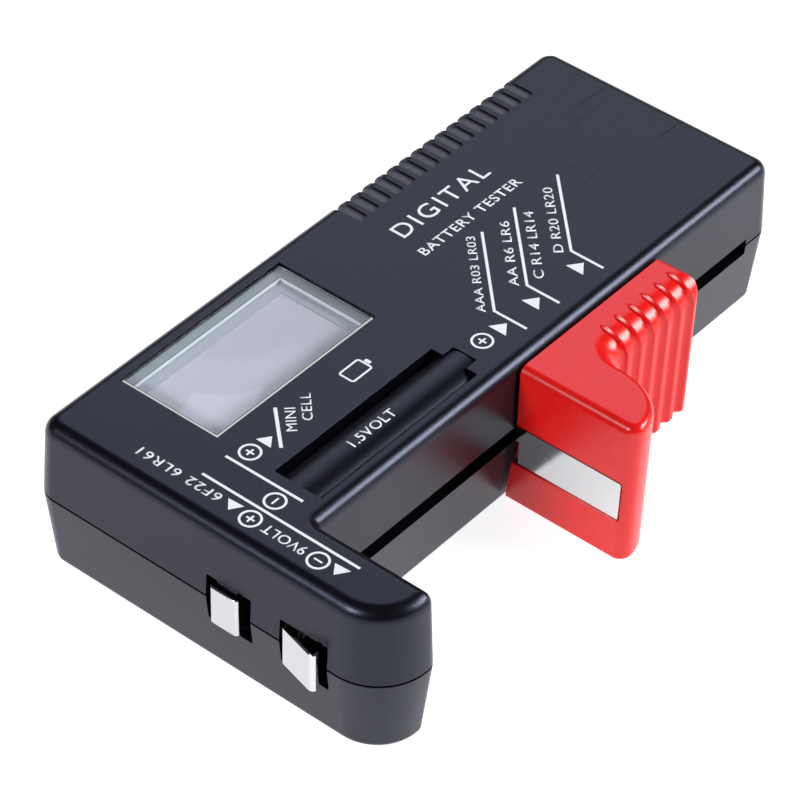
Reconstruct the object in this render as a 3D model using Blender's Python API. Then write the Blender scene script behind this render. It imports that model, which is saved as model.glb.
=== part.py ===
"""Handheld battery tester: a two-part case with a display, 9 V contacts on its
near end, and a sliding clamp that grips a round cell against the case's foot.

Metres, +Z up.  +Y runs from the foot to the far end, +X towards the slider's
side, and the origin is on the underside, at the middle of the case's length
and of the foot's width.  Dimensions below are in millimetres.
"""
import math

import bmesh
import bpy
from mathutils import Matrix, Vector

MM = 0.001

# Case
LENGTH = 109.5            # foot face to far end
FOOT_WIDTH = 61.5         # full width across the foot
BODY_WIDTH = 41.7         # width of the main body
FOOT_DEPTH = 10.75        # length of the foot along Y
HEIGHT = 24.8
PARTING = 12.5            # height of the joint between the two shells
SEAM = 0.15               # half of the gap at the joint
WALL = 2.0
DRAFT_TOP = 0.6           # how far the upper walls lean in
DRAFT_BOTTOM = 1.1        # how far the lower walls lean in
TOP_ROUND = 2.2
DRAFT_RIGHT = 0.3         # the same two on the sides that face the cell under test
ROUND_RIGHT = 2.0
X0, X1, X2 = -FOOT_WIDTH / 2, -FOOT_WIDTH / 2 + BODY_WIDTH, FOOT_WIDTH / 2
Y0, Y1, Y3 = -LENGTH / 2, -LENGTH / 2 + FOOT_DEPTH, LENGTH / 2
CEILING = HEIGHT - WALL
GAP = 0.3                 # clearance between touching pieces

# Display
WINDOW = (-27.25, -41.15, -9.75, -8.95)      # x0, y0, x1, y1 of the lens recess
LENS_THICK = 1.3
LEDGE = 1.1               # width of the ledge that the lens rests on

# Relief of a cell beside the display
POCKET = (0.05, -41.0, 8.05, -9.1)
POCKET_DEPTH = 2.2
CELL_RADIUS = 3.1

# Slider and its slot
SLOT_Z = (10.8, 13.6)
SLOT_Y = (-42.6, 48.7)
SLIDER_NEAR, SLIDER_FAR = -3.6, 27.5
SLIDER_OUTER = 30.6       # outer side of the clamp arm
GRIP_OUTER = 18.2         # outer side of the finger grip
SLIDER_Z = (0.6, 23.9)
GRIP_ROUND = 4.0
GRIP_GROOVES = 6
GRIP_PITCH = 2.96
GRIP_FIRST = 10.3
GRIP_GROOVE_R = 0.7
TONGUE_Y = (-2.2, 20.0)
STRIP_Z = (6.9, 13.7)

# Finger grooves on the left top edge
EDGE_GROOVES = 15
EDGE_FIRST = 5.9
EDGE_PITCH = 2.64
EDGE_TIP = -24.4          # inner end of each groove
EDGE_WIDTH = 1.5
EDGE_DEPTH = 0.5
EDGE_LOW = 19.0           # lower end of each groove, on the side wall

# Contacts on the near end
PLATE_X = (1.4, 6.2)
PLATE_Z = (9.2, 15.5)
TAB_X = (13.3, 19.9)
TAB_Z = (8.9, 15.4)

# Fastenings
CASE_SCREWS = ((-25.0, -48.0), (-5.0, -48.0), (-25.0, 48.0), (-0.5, 48.0))
BOARD_SCREWS = ((-24.0, 24.0), (-3.0, 24.0))
BOARD_Z = (15.4, 17.0)


def clear_scene():
    for obj in list(bpy.data.objects):
        bpy.data.objects.remove(obj, do_unlink=True)


def to_metres():
    """Everything is modelled in millimetres, and scaled once at the end."""
    for obj in bpy.data.objects:
        obj.data.transform(Matrix.Scale(MM, 4))


def material(name, colour, roughness, metallic=0.0, alpha=1.0):
    mat = bpy.data.materials.new(name)
    mat.use_nodes = True
    shader = mat.node_tree.nodes["Principled BSDF"]
    shader.inputs["Base Color"].default_value = (*colour, 1.0)
    shader.inputs["Roughness"].default_value = roughness
    shader.inputs["Metallic"].default_value = metallic
    shader.inputs["Alpha"].default_value = alpha
    return mat


def finish(name, bm, mat, smooth=False):
    """Turns a bmesh into an object, still in millimetres."""
    bmesh.ops.recalc_face_normals(bm, faces=bm.faces)
    mesh = bpy.data.meshes.new(name)
    bm.to_mesh(mesh)
    bm.free()
    if mat:
        mesh.materials.append(mat)
    obj = bpy.data.objects.new(name, mesh)
    bpy.context.collection.objects.link(obj)
    if smooth:
        mesh.shade_smooth()
        mesh.set_sharp_from_angle(angle=math.radians(30))
    return obj


def boolean(target, tool, operation="DIFFERENCE"):
    """Cuts the tool from the target, or joins it on, and removes the tool."""
    mod = target.modifiers.new("Boolean", "BOOLEAN")
    mod.object = tool
    mod.operation = operation
    mod.solver = "EXACT"
    graph = bpy.context.evaluated_depsgraph_get()
    mesh = bpy.data.meshes.new_from_object(target.evaluated_get(graph))
    old = target.data
    target.modifiers.clear()
    target.data = mesh
    bpy.data.meshes.remove(old)
    mesh.name = target.name
    bpy.data.objects.remove(tool, do_unlink=True)


def rounded(corners, inset, segments=5):
    """Closed outline, counter-clockwise, of (x, y, radius) corners moved in
    by inset.  Outward corners shrink and inward corners grow."""
    points = []
    count = len(corners)
    for i, (x, y, radius) in enumerate(corners):
        here = Vector((x, y))
        before = (here - Vector(corners[i - 1][:2])).normalized()
        after = (Vector(corners[(i + 1) % count][:2]) - here).normalized()
        n1 = Vector((-before.y, before.x))
        n2 = Vector((-after.y, after.x))
        convex = before.cross(after) > 0
        vertex = here + (n1 + n2) * (inset / (1 + n1.dot(n2)))
        r = max(radius - inset, 0.12) if convex else radius + inset
        half = math.acos(max(-1.0, min(1.0, before.dot(after)))) / 2
        side = 1 if convex else -1
        start = vertex - before * (r * math.tan(half))
        centre = start + n1 * (r * side)
        arm = start - centre
        for k in range(segments + 1):
            turn = side * 2 * half * k / segments
            c, s = math.cos(turn), math.sin(turn)
            points.append((centre.x + arm.x * c - arm.y * s, centre.y + arm.x * s + arm.y * c))
    return points


def loft(name, rings, mat=None, smooth=False):
    """Solid through rings of 3-D points of equal count, capped at both ends."""
    bm = bmesh.new()
    loops = [[bm.verts.new(p) for p in ring] for ring in rings]
    count = len(loops[0])
    for low, high in zip(loops, loops[1:]):
        for i in range(count):
            j = (i + 1) % count
            bm.faces.new((low[i], low[j], high[j], high[i]))
    bm.faces.new(loops[0][::-1])
    bm.faces.new(loops[-1])
    return finish(name, bm, mat, smooth)


def levels(outline, steps):
    """Rings of an outline function at (z, inset) steps."""
    return [[(x, y, z) for x, y in outline(inset)] for z, inset in steps]


def box(name, low, high, mat=None):
    bm = bmesh.new()
    bmesh.ops.create_cube(bm, size=1)
    size = [b - a for a, b in zip(low, high)]
    bmesh.ops.scale(bm, vec=size, verts=bm.verts)
    bmesh.ops.translate(bm, vec=[(a + b) / 2 for a, b in zip(low, high)], verts=bm.verts)
    return finish(name, bm, mat)


def turned(name, profile, centre, direction, mat=None, segments=16):
    """Body of revolution: (radius, height) profile along a direction."""
    bm = bmesh.new()
    verts = [bm.verts.new((r, 0, h)) for r, h in profile]
    edges = [bm.edges.new(pair) for pair in zip(verts, verts[1:])]
    bmesh.ops.spin(bm, geom=verts + edges, cent=(0, 0, 0), axis=(0, 0, 1),
                   angle=math.tau, steps=segments, use_merge=True)
    bmesh.ops.remove_doubles(bm, verts=bm.verts, dist=1e-4)
    turn = Vector((0, 0, 1)).rotation_difference(Vector(direction)).to_matrix()
    bmesh.ops.rotate(bm, cent=(0, 0, 0), matrix=turn, verts=bm.verts)
    bmesh.ops.translate(bm, vec=centre, verts=bm.verts)
    return finish(name, bm, mat, smooth=True)


def cylinder(name, centre, radius, length, direction=(0, 0, 1), mat=None, segments=16):
    """Cylinder that starts at centre and runs along direction."""
    profile = ((0, 0), (radius, 0), (radius, length), (0, length))
    return turned(name, profile, centre, direction, mat, segments)


def leaf(name, path, thickness, z_range, mat, smooth=False):
    """Sheet strip that follows a plan path, of constant thickness."""
    points = [Vector(p) for p in path]
    left, right = [], []
    for i, p in enumerate(points):
        before = (p - points[i - 1]).normalized() if i else (points[1] - p).normalized()
        after = (points[i + 1] - p).normalized() if i + 1 < len(points) else before
        n1, n2 = Vector((-before.y, before.x)), Vector((-after.y, after.x))
        miter = (n1 + n2) / (1 + n1.dot(n2)) * (thickness / 2)
        left.append(p + miter)
        right.append(p - miter)
    ring = left + right[::-1]
    return loft(name, [[(p.x, p.y, z) for p in ring] for z in z_range], mat, smooth)


def wire(name, points, radius, mat):
    """Round wire along a smooth curve through the points."""
    pts = [Vector(p) for p in points]
    ends = [pts[0] * 2 - pts[1]] + pts + [pts[-1] * 2 - pts[-2]]
    line = []
    for a, b, c, d in zip(ends, ends[1:], ends[2:], ends[3:]):
        for k in range(4):
            t = k / 4
            line.append(0.5 * (2 * b + (c - a) * t + (2 * a - 5 * b + 4 * c - d) * t * t
                               + (3 * b - a - 3 * c + d) * t ** 3))
    line.append(pts[-1])
    rings = []
    across = Vector((0.3, 0.2, 1)).cross(line[1] - line[0]).normalized()
    for i, p in enumerate(line):
        along = (line[min(i + 1, len(line) - 1)] - line[max(i - 1, 0)]).normalized()
        across = (across - along * across.dot(along)).normalized()
        up = along.cross(across)
        rings.append([p + (across * math.cos(a) + up * math.sin(a)) * radius
                      for a in (math.tau * k / 8 for k in range(8))])
    return loft(name, rings, mat, smooth=True)


def case_plan(inset, right=None):
    """The case's L-shaped outline, moved in by inset, and by its own amount on
    the sides that face the cell under test.  The foot's outer corner is almost
    as deep as the foot, so further in it only gets what room is left."""
    right = inset if right is None else right
    inner = max(2.2 - max(inset, right), 0.12)
    outer = min(8.3 - inset, FOOT_DEPTH - inset - right - inner - 0.05)
    x0, x1, x2 = X0 + inset, X1 - right, X2 - inset
    y0, y1, y3 = Y0 + inset, Y1 - right, Y3 - inset
    corner = max(3.1 - inset, 0.12)
    return rounded(((x0, y0, max(3.5 - inset, 0.12)), (x2, y0, outer), (x2, y1, inner),
                    (x1, y1, 0.8 + right), (x1, y3, corner), (x0, y3, corner)), 0.0)


def lean(z, draft, radius):
    """How far in the upper shell's wall stands at height z, top edge included."""
    wall = draft * min(1.0, (z - PARTING) / (HEIGHT - radius - PARTING))
    rise = max(0.0, z - HEIGHT + radius)
    return wall + radius - math.sqrt(max(radius * radius - rise * rise, 0.0))


def top_round(z_top, inset, radius, steps=4):
    """(z, inset) steps of a rounded top edge, from the wall to the flat top."""
    return [(z_top - radius + radius * math.sin(a), inset + radius * (1 - math.cos(a)))
            for a in (math.pi / 2 * k / steps for k in range(steps + 1))]


def groove(path, y, widths, depth, sides):
    """Cutter for a groove across Y that follows an (x, z) path along a
    surface, with its half width given at each point."""
    rings = []
    for i, (x, z) in enumerate(path):
        a, b = Vector(path[max(i - 1, 0)]), Vector(path[min(i + 1, len(path) - 1)])
        along = (b - a).normalized()
        turns = [math.tau * (k + 0.5) / sides for k in range(sides)]
        reach = math.cos(math.pi / sides)
        ring = []
        for turn in turns:
            side, up = widths[i] * math.cos(turn) / reach, depth * math.sin(turn) / reach
            ring.append((x - along.y * up, y + side, z + along.x * up))
        rings.append(ring)
    return loft("groove", rings)


def contact_openings(z_low, z_high):
    """Cutters for the openings in the near face and in the foot's inner face,
    limited to one shell's heights."""
    slots = (
        (-0.6, 2.1, Y0 - 2, Y0 + 3.5, 8.3, 16.3),
        (5.5, 8.2, Y0 - 2, Y0 + 3.5, 8.3, 16.3),
        (TAB_X[0] - 0.5, TAB_X[1] + 0.9, Y0 - 2, Y0 + 3.5, 8.5, 16.3),
        (12.4, 27.9, Y1 - 3.5, Y1 + 2, 6.5, 14.1),
    )
    return [box("opening", (x0, y0, max(z0, z_low)), (x1, y1, min(z1, z_high)))
            for x0, x1, y0, y1, z0, z1 in slots]


def make_upper_shell(mat):
    heights = [PARTING + SEAM] + [z for z, _ in top_round(HEIGHT, 0.0, TOP_ROUND, 5)]
    rings = []
    for z in heights[::-1]:
        plan = case_plan(lean(z, DRAFT_TOP, TOP_ROUND), lean(z, DRAFT_RIGHT, ROUND_RIGHT))
        rings.append([(x, y, z) for x, y in plan])
    rings += levels(case_plan, [(PARTING + SEAM, 0.8), (13.75, 0.8), (13.75, WALL)])
    rings += [[(x, y, CEILING) for x, y in case_plan(WALL + DRAFT_TOP, WALL + DRAFT_RIGHT)]]
    shell = loft("upper_shell", rings, mat)

    # Floor under the cell relief, and bosses for the case and board screws.
    x0, y0, x1, y1 = POCKET
    boolean(shell, box("pad", (x0 - 1.2, y0 - 1.2, CEILING - 1.6), (x1 + 0.3, y1 + 4.0, CEILING + 0.5)),
            "UNION")
    for x, y in CASE_SCREWS:
        boolean(shell, cylinder("boss", (x, y, PARTING + GAP), 2.7, CEILING + 0.5 - PARTING - GAP), "UNION")
        boolean(shell, cylinder("pilot", (x, y, 10), 1.35, 11.2, segments=12))
    for x, y in BOARD_SCREWS:
        boolean(shell, cylinder("boss", (x, y, BOARD_Z[1] + GAP), 2.2, CEILING + 0.5 - BOARD_Z[1] - GAP),
                "UNION")
        boolean(shell, cylinder("pilot", (x, y, 10), 1.1, 11.6, segments=12))

    # Display opening with a ledge for the lens.
    x0, y0, x1, y1 = WINDOW
    boolean(shell, box("recess", (x0, y0, HEIGHT - LENS_THICK - GAP), (x1, y1, HEIGHT + 1)))
    boolean(shell, box("opening", (x0 + LEDGE, y0 + LEDGE, CEILING - 1),
                       (x1 - LEDGE, y1 - LEDGE, HEIGHT + 1)))

    # Relief of a round cell with its terminal, lying in a shallow pocket.
    x0, y0, x1, y1 = POCKET
    middle = (x0 + x1) / 2
    pocket = box("pocket", (x0, y0, HEIGHT - POCKET_DEPTH), (x1, y1, HEIGHT + 1))
    nub = box("nub_pocket", (middle - 2.0, y1 - 0.5, HEIGHT - POCKET_DEPTH + 0.4),
              (middle + 2.0, y1 + 2.3, HEIGHT + 1))
    boolean(pocket, nub, "UNION")
    boolean(shell, pocket)
    drop = HEIGHT - CELL_RADIUS - 0.05
    cell = cylinder("cell", (middle, y0 - 0.4, drop), CELL_RADIUS, y1 - y0 + 0.1, (0, 1, 0))
    boolean(cell, cylinder("nub", (middle, y1 - 1.5, drop), 1.7, 3.5, (0, 1, 0)), "UNION")
    boolean(cell, box("trim", (x0 - 1, y0 - 2, drop - 6), (x1 + 1, y1 + 4, HEIGHT - POCKET_DEPTH - 0.4)))
    boolean(shell, cell, "UNION")

    # Finger grooves across the left top edge.
    side = X0 + DRAFT_TOP
    centre = Vector((side + TOP_ROUND, HEIGHT - TOP_ROUND))
    path = [(EDGE_TIP, HEIGHT), (EDGE_TIP - 0.25, HEIGHT), (EDGE_TIP - 0.7, HEIGHT)]
    path += [centre + Vector((-math.sin(a), math.cos(a))) * TOP_ROUND
             for a in (math.pi / 2 * k / 4 for k in range(5))]
    path += [(side - 0.1, EDGE_LOW)]
    widths = [0.35, 0.75] + [1.0] * 7
    for k in range(EDGE_GROOVES):
        y = EDGE_FIRST + EDGE_PITCH * k
        boolean(shell, groove(path, y, [w * EDGE_WIDTH / 2 for w in widths], EDGE_DEPTH, 4))

    # Slider slot and contact openings.
    boolean(shell, box("slot", (X1 - 4, SLOT_Y[0], PARTING - 2), (X1 + 1, SLOT_Y[1], SLOT_Z[1])))
    for cutter in contact_openings(PARTING - 2, 99):
        boolean(shell, cutter)
    return shell


def make_lower_shell(mat):
    rings = levels(case_plan, [
        (0.0, DRAFT_BOTTOM + 0.5), (0.5, DRAFT_BOTTOM), (PARTING - SEAM, 0.0),
        (PARTING - SEAM, 1.15), (13.4, 1.15), (13.4, WALL - 0.1), (WALL, WALL + DRAFT_BOTTOM)])
    shell = loft("lower_shell", rings, mat)
    for x, y in CASE_SCREWS:
        boolean(shell, cylinder("boss", (x, y, 1.0), 3.4, PARTING - 1.0), "UNION")
        boolean(shell, cylinder("hole", (x, y, -1), 1.5, 15, segments=12))
        boolean(shell, cylinder("counterbore", (x, y, -1), 2.6, 4.0))
    # Posts behind the slider's contact rail.
    for y in (-36.0, 0.0, 36.0):
        boolean(shell, box("post", (1.6, y - 2.0, 1.0), (3.9, y + 2.0, 14.6)), "UNION")
    boolean(shell, box("slot", (X1 - 4, SLOT_Y[0], SLOT_Z[0]), (X1 + 1, SLOT_Y[1], 20)))
    for cutter in contact_openings(0, 20):
        boolean(shell, cutter)
    return shell


def make_display(mats):
    x0, y0, x1, y1 = WINDOW
    g = 0.15
    lens_top = HEIGHT - 0.1
    lens = loft("display_window", levels(
        lambda i: rounded(((x0 + g, y0 + g, 0.4), (x1 - g, y0 + g, 0.4), (x1 - g, y1 - g, 0.4),
                           (x0 + g, y1 - g, 0.4)), i, 3),
        ((lens_top - LENS_THICK + 0.05, 0.0), (lens_top - 0.25, 0.0), (lens_top, 0.25))), mats["clear"])
    # Holder between the board and the case top, open through the middle.
    holder = box("lcd_holder", (x0 - 0.6, y0 - 0.9, BOARD_Z[1] + GAP), (x1 + 1.1, y1 + 0.9, CEILING - GAP),
                 mats["white_plastic"])
    boolean(holder, box("hole", (x0 + 0.2, y0 + 0.4, 10), (x1 - 0.2, y1 - 0.4, 30)))
    panel = box("lcd_panel", (x0 + 0.5, y0 + 0.7, 20.9), (x1 - 0.5, y1 - 0.7, 22.4), mats["lcd"])
    reflector = box("lcd_reflector", (x0 + 2.6, y0 + 0.7, 20.3), (x1 - 2.6, y1 - 0.7, 20.6),
                    mats["reflector"])
    zebras = [box(name, (x - 0.8, y0 + 1.2, BOARD_Z[1] + GAP), (x + 0.8, y1 - 1.2, 20.6), mats["rubber"])
              for name, x in (("lcd_connector_left", x0 + 1.4), ("lcd_connector_right", x1 - 1.4))]
    return [lens, holder, panel, reflector, *zebras]


def make_board(mats):
    board = box("circuit_board", (-27.6, -43.4, BOARD_Z[0]), (1.0, 30.0, BOARD_Z[1]), mats["board"])
    for x, y in BOARD_SCREWS:
        boolean(board, cylinder("hole", (x, y, 10), 1.4, 10, segments=12))
    top = BOARD_Z[1] + GAP
    pieces = [board]
    pieces.append(turned("chip_blob", [(0, 0), (5.2, 0), (5.0, 0.7), (3.9, 1.3), (2.2, 1.65), (0, 1.8)],
                         (-17.5, 3.0, top), (0, 0, 1), mats["epoxy"], 20))
    lead = 0.35
    body = [(0, 0), (lead, 0), (lead, 1.6), (1.3, 1.9), (1.6, 2.6), (1.4, 3.4), (1.4, 7.6), (1.6, 8.4),
            (1.3, 9.1), (lead, 9.4), (lead, 11.0), (0, 11.0)]
    for name, x, y in (("load_resistor_cell", -6.5, -4.5), ("load_resistor_9v", -2.2, -4.5)):
        pieces.append(turned(name, body, (x, y, top + 1.7), (0, 1, 0), mats["resistor"], 14))
    drum = [(0, 0), (3.4, 0), (3.4, 0.9), (2.6, 0.9), (2.6, 3.6), (3.4, 3.6), (3.4, 4.5), (0, 4.5)]
    pieces.append(turned("boost_inductor", drum, (-7.0, 14.5, top), (0, 0, 1), mats["ferrite"], 20))
    can = [(0, 0), (1.9, 0), (2.0, 0.2), (2.0, 0.9), (1.8, 1.1), (2.0, 1.3), (2.0, 6.8), (1.8, 7.0),
           (0, 7.0)]
    pieces.append(turned("capacitor", can, (-14.0, 22.0, top + 2.1), (-1, 0, 0), mats["sleeve"], 16))
    trimmer = box("trimmer", (-26.0, 12.0, top), (-19.6, 18.0, top + 2.6), mats["trimmer"])
    boolean(trimmer, cylinder("rotor", (-22.8, 15.0, top + 2.0), 2.2, 1.4), "UNION")
    boolean(trimmer, box("driver_slot", (-24.6, 14.7, top + 2.9), (-21.0, 15.3, top + 4.0)))
    pieces.append(trimmer)
    case = [(-1.9, -1.2), (1.9, -1.2)] + [
        (2.3 * math.cos(a), 0.2 + 1.9 * math.sin(a)) for a in (math.pi * k / 8 for k in range(9))]
    pieces.append(loft("transistor", [[(x - 1.6, y + 22.0 - 6.0, z) for x, y in case]
                                      for z in (top, top + 4.3)], mats["epoxy"], smooth=True))
    for i, (x, y) in enumerate(BOARD_SCREWS, 1):
        pieces.append(make_screw(f"board_screw_{i}", (x, y), BOARD_Z[0] - GAP, 1.8, 1.0, 0.8, 5.5, mats))
    return pieces


def make_screw(name, place, seat, head_r, head_h, shank_r, shank_l, mats):
    """Cross-recessed screw, driven upwards, with its head below the seat."""
    profile = [(0, -head_h), (head_r * 0.75, -head_h), (head_r, -head_h * 0.55), (head_r, 0), (shank_r, 0),
               (shank_r, shank_l - 0.8), (shank_r * 0.4, shank_l), (0, shank_l)]
    screw = turned(name, profile, (*place, seat), (0, 0, 1), mats["screw"], 14)
    x, y = place
    arm, width, low = head_r * 0.6, head_r * 0.13, seat - head_h
    cross = box("cross", (x - arm, y - width, low - 1), (x + arm, y + width, low + head_h * 0.55))
    boolean(cross, box("cross", (x - width, y - arm, low - 1), (x + width, y + arm, low + head_h * 0.55)),
            "UNION")
    boolean(screw, cross)
    return screw


def slider_side(z):
    """The slider's inner face follows the leaning side of the case."""
    if z < PARTING:
        return X1 + 0.35 - DRAFT_BOTTOM * (PARTING - z) / PARTING
    return X1 + 0.35 - DRAFT_RIGHT * (z - PARTING) / (HEIGHT - PARTING)


def bezier(a, b, c, d, count):
    """Points of a cubic curve, without its last one."""
    a, b, c, d = map(Vector, (a, b, c, d))
    return [a * (1 - t) ** 3 + b * 3 * t * (1 - t) ** 2 + c * 3 * t * t * (1 - t) + d * t ** 3
            for t in (k / count for k in range(count))]


def slider_plan(z, inset):
    """Outline of the slider: a deep clamp arm at its near end, which sweeps
    back into the narrow finger grip."""
    inner, near, far = slider_side(z), SLIDER_NEAR + inset, SLIDER_FAR - inset
    out, grip = SLIDER_OUTER - inset, GRIP_OUTER - inset
    corner = 1.8
    points = [Vector((inner, near))]
    points += bezier((out - corner, near), (out - corner * 0.45, near), (out, near + corner * 0.55),
                     (out, near + corner), 6)
    points += bezier((out, near + corner), (out, 1.2 - inset), (28.2, 4.9 - inset), (22.4, 5.6 - inset), 10)
    points += bezier((22.4, 5.6 - inset), (19.6, 5.8 - inset), (grip, 7.0 - inset), (grip, 10.0), 8)
    points += bezier((grip, far - 1.3), (grip, far - 0.5), (grip - 0.5, far), (grip - 1.3, far), 4)
    points += [Vector((grip - 1.3, far)), Vector((inner, far))]
    return points


def make_slider(mats):
    low, high = SLIDER_Z
    rings = []
    for z, inset in [(low, 0.3), (low + 0.3, 0.0), (PARTING, 0.0)] + top_round(high, 0.0, 1.3, 3):
        rings.append([(p.x, p.y, z) for p in slider_plan(z, inset)])
    grip = loft("slider_grip", rings, mats["red"])

    # The grip's outer top edge is well rounded, and finger grooves wrap over it.
    centre = Vector((GRIP_OUTER - GRIP_ROUND, high - GRIP_ROUND))
    arc = [centre + Vector((math.sin(a), math.cos(a))) * GRIP_ROUND
           for a in (math.pi / 2 * k / 6 for k in range(7))]
    profile = [Vector((centre.x, high + 3)), *arc, Vector((GRIP_OUTER + 3, high - GRIP_ROUND)),
               Vector((GRIP_OUTER + 3, high + 3))]
    boolean(grip, loft("round", [[(p.x, y, p.y) for p in profile] for y in (8.4, SLIDER_FAR + 1)]))
    path = [(centre.x - 0.4, high), (centre.x, high)] + arc[1:] + [(GRIP_OUTER, low - 1)]
    for k in range(GRIP_GROOVES):
        y = GRIP_FIRST + GRIP_PITCH * k
        boolean(grip, groove(path, y, [GRIP_GROOVE_R] * len(path), GRIP_GROOVE_R, 8))

    # Recess for the contact strip, open towards the case.
    boolean(grip, box("recess", (X1 - 1, SLIDER_NEAR - 1, STRIP_Z[0] - GAP),
                      (29.3, SLIDER_NEAR + 0.95, STRIP_Z[1] + GAP)))

    # Tongue through the slot, with a flange that holds the slider on.
    tongue = box("tongue", (7.6, TONGUE_Y[0], SLOT_Z[0] + GAP), (X1 + 2, TONGUE_Y[1], SLOT_Z[1] - GAP))
    boolean(tongue, box("flange", (6.7, TONGUE_Y[0], 9.0), (8.25, TONGUE_Y[1], 15.4)), "UNION")
    boolean(grip, tongue, "UNION")

    # Polished strip across the arm; its tail runs through the slot.
    y0, y1 = SLIDER_NEAR + 0.25, SLIDER_NEAR + 0.65
    outline = [(11.7, STRIP_Z[0]), (27.9, STRIP_Z[0])]
    outline += [(27.9 + 1.0 * math.sin(a), STRIP_Z[0] + 1.0 * (1 - math.cos(a)))
                for a in (math.pi / 2 * k / 4 for k in range(1, 5))]
    outline += [(28.9, STRIP_Z[1]), (11.7, STRIP_Z[1]), (11.7, SLOT_Z[1] - 0.4), (6.0, SLOT_Z[1] - 0.4),
                (6.0, SLOT_Z[0] + 0.4), (11.7, SLOT_Z[0] + 0.4)]
    strip = loft("slider_contact", [[(x, y, z) for x, z in outline] for y in (y0, y1)], mats["steel"])
    bow = [(5.55 + 0.85 * ((k - 5) / 5) ** 2, TONGUE_Y[0] + 1.0 + 16.0 * k / 10) for k in range(11)]
    wiper = leaf("slider_wiper", bow, 0.3, (11.0, 13.4), mats["brass"], smooth=True)
    return [grip, strip, wiper]


def make_contacts(mats):
    pieces = []
    # Plate that spans the wall between two slots, with a leg through each.
    face = Y0 - 0.5
    path = [(PLATE_X[0] + 0.2, Y0 + 3.6), (PLATE_X[0] + 0.2, face), (PLATE_X[1] - 0.2, face),
            (PLATE_X[1] - 0.2, Y0 + 3.6)]
    pieces.append(leaf("contact_9v_positive", path, 0.4, PLATE_Z, mats["steel"]))
    # Sprung tab, bent outwards, with its free edge turned back.
    tab = [(TAB_X[0] + 0.1, Y0 + 2.6), (TAB_X[0] + 0.1, Y0 + 0.1), (TAB_X[1] - 0.6, Y0 - 1.4),
           (TAB_X[1] - 0.1, Y0 - 1.2), (TAB_X[1] - 0.1, Y0 - 0.3)]
    pieces.append(leaf("contact_9v_negative", tab, 0.4, TAB_Z, mats["steel"]))
    foot = [(12.9, Y1 - 2.4), (12.9, Y1 - 0.1), (25.8, Y1 + 1.5), (26.7, Y1 + 1.3), (26.9, Y1 - 0.4)]
    pieces.append(leaf("contact_cell", foot, 0.4, (6.9, 13.7), mats["steel"]))
    pieces.append(box("contact_rail", (4.2, -44.0, 9.2), (4.8, 47.0, 15.1), mats["brass"]))
    return pieces


def make_wires(mats):
    low = BOARD_Z[0] - GAP
    runs = {
        "wire_9v_positive": ((1.7, Y0 + 4.6, 14.0), (1.0, -48.5, 14.2), (-0.8, -45.0, 14.0),
                             (-1.2, -42.8, 13.7), (-1.3, -41.0, low - 0.6)),
        "wire_9v_negative": ((13.2, -51.2, 11.0), (12.6, -49.6, 10.2), (9.0, -48.6, 9.8), (3.0, -45.6, 10.0),
                             (-3.0, -43.2, 10.8), (-7.0, -41.4, 12.4), (-7.4, -39.5, low - 0.6)),
        "wire_cell_negative": ((12.9, -47.6, 7.6), (10.6, -48.9, 6.6), (4.5, -47.8, 6.2), (-3.0, -43.0, 7.6),
                               (-10.5, -39.0, 11.8), (-11.0, -37.0, low - 0.6)),
        "wire_rail": ((3.4, -41.8, 12.0), (2.2, -41.4, 11.6), (0.2, -39.8, 12.2), (-2.2, -37.4, 13.4),
                      (-2.6, -36.0, low - 0.6)),
    }
    red = ("wire_9v_positive", "wire_rail")
    return [wire(name, points, 0.5, mats["red_wire" if name in red else "black_wire"])
            for name, points in runs.items()]


def main():
    clear_scene()
    mats = {
        "black": material("black_plastic", (0.022, 0.022, 0.028), 0.42),
        "red": material("red_plastic", (0.75, 0.02, 0.02), 0.25),
        "clear": material("clear_plastic", (0.80, 0.85, 0.87), 0.08, alpha=0.35),
        "lcd": material("lcd_glass", (0.55, 0.60, 0.62), 0.15),
        "reflector": material("reflector", (0.75, 0.76, 0.74), 0.4),
        "white_plastic": material("white_plastic", (0.72, 0.72, 0.70), 0.5),
        "rubber": material("rubber", (0.35, 0.12, 0.20), 0.8),
        "board": material("board", (0.05, 0.22, 0.09), 0.5),
        "epoxy": material("epoxy", (0.02, 0.02, 0.02), 0.35),
        "resistor": material("resistor", (0.55, 0.42, 0.25), 0.5),
        "ferrite": material("ferrite", (0.10, 0.10, 0.11), 0.6),
        "sleeve": material("sleeve", (0.04, 0.06, 0.18), 0.3),
        "trimmer": material("trimmer_body", (0.12, 0.20, 0.50), 0.4),
        "screw": material("screw_steel", (0.60, 0.60, 0.58), 0.35, 1.0),
        "steel": material("polished_steel", (0.85, 0.85, 0.84), 0.12, 1.0),
        "brass": material("brass", (0.78, 0.57, 0.28), 0.3, 1.0),
        "red_wire": material("red_insulation", (0.60, 0.03, 0.03), 0.45),
        "black_wire": material("black_insulation", (0.02, 0.02, 0.02), 0.45),
    }
    make_upper_shell(mats["black"])
    make_lower_shell(mats["black"])
    make_display(mats)
    make_board(mats)
    for i, place in enumerate(CASE_SCREWS, 1):
        make_screw(f"case_screw_{i}", place, 2.7, 2.1, 1.5, 1.0, 14.5, mats)
    make_contacts(mats)
    make_wires(mats)
    make_slider(mats)
    to_metres()


main()
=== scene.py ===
"""Handheld battery tester: a black two-part case with a display, a sliding red
clamp for round cells, and two polished contacts for a 9 V block.

The packed frame gives the places.  Pieces are modelled in millimetres and
brought to metres when they are settled on their bodies.
"""
import math

import bpy
from mathutils import Matrix, Vector


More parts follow.
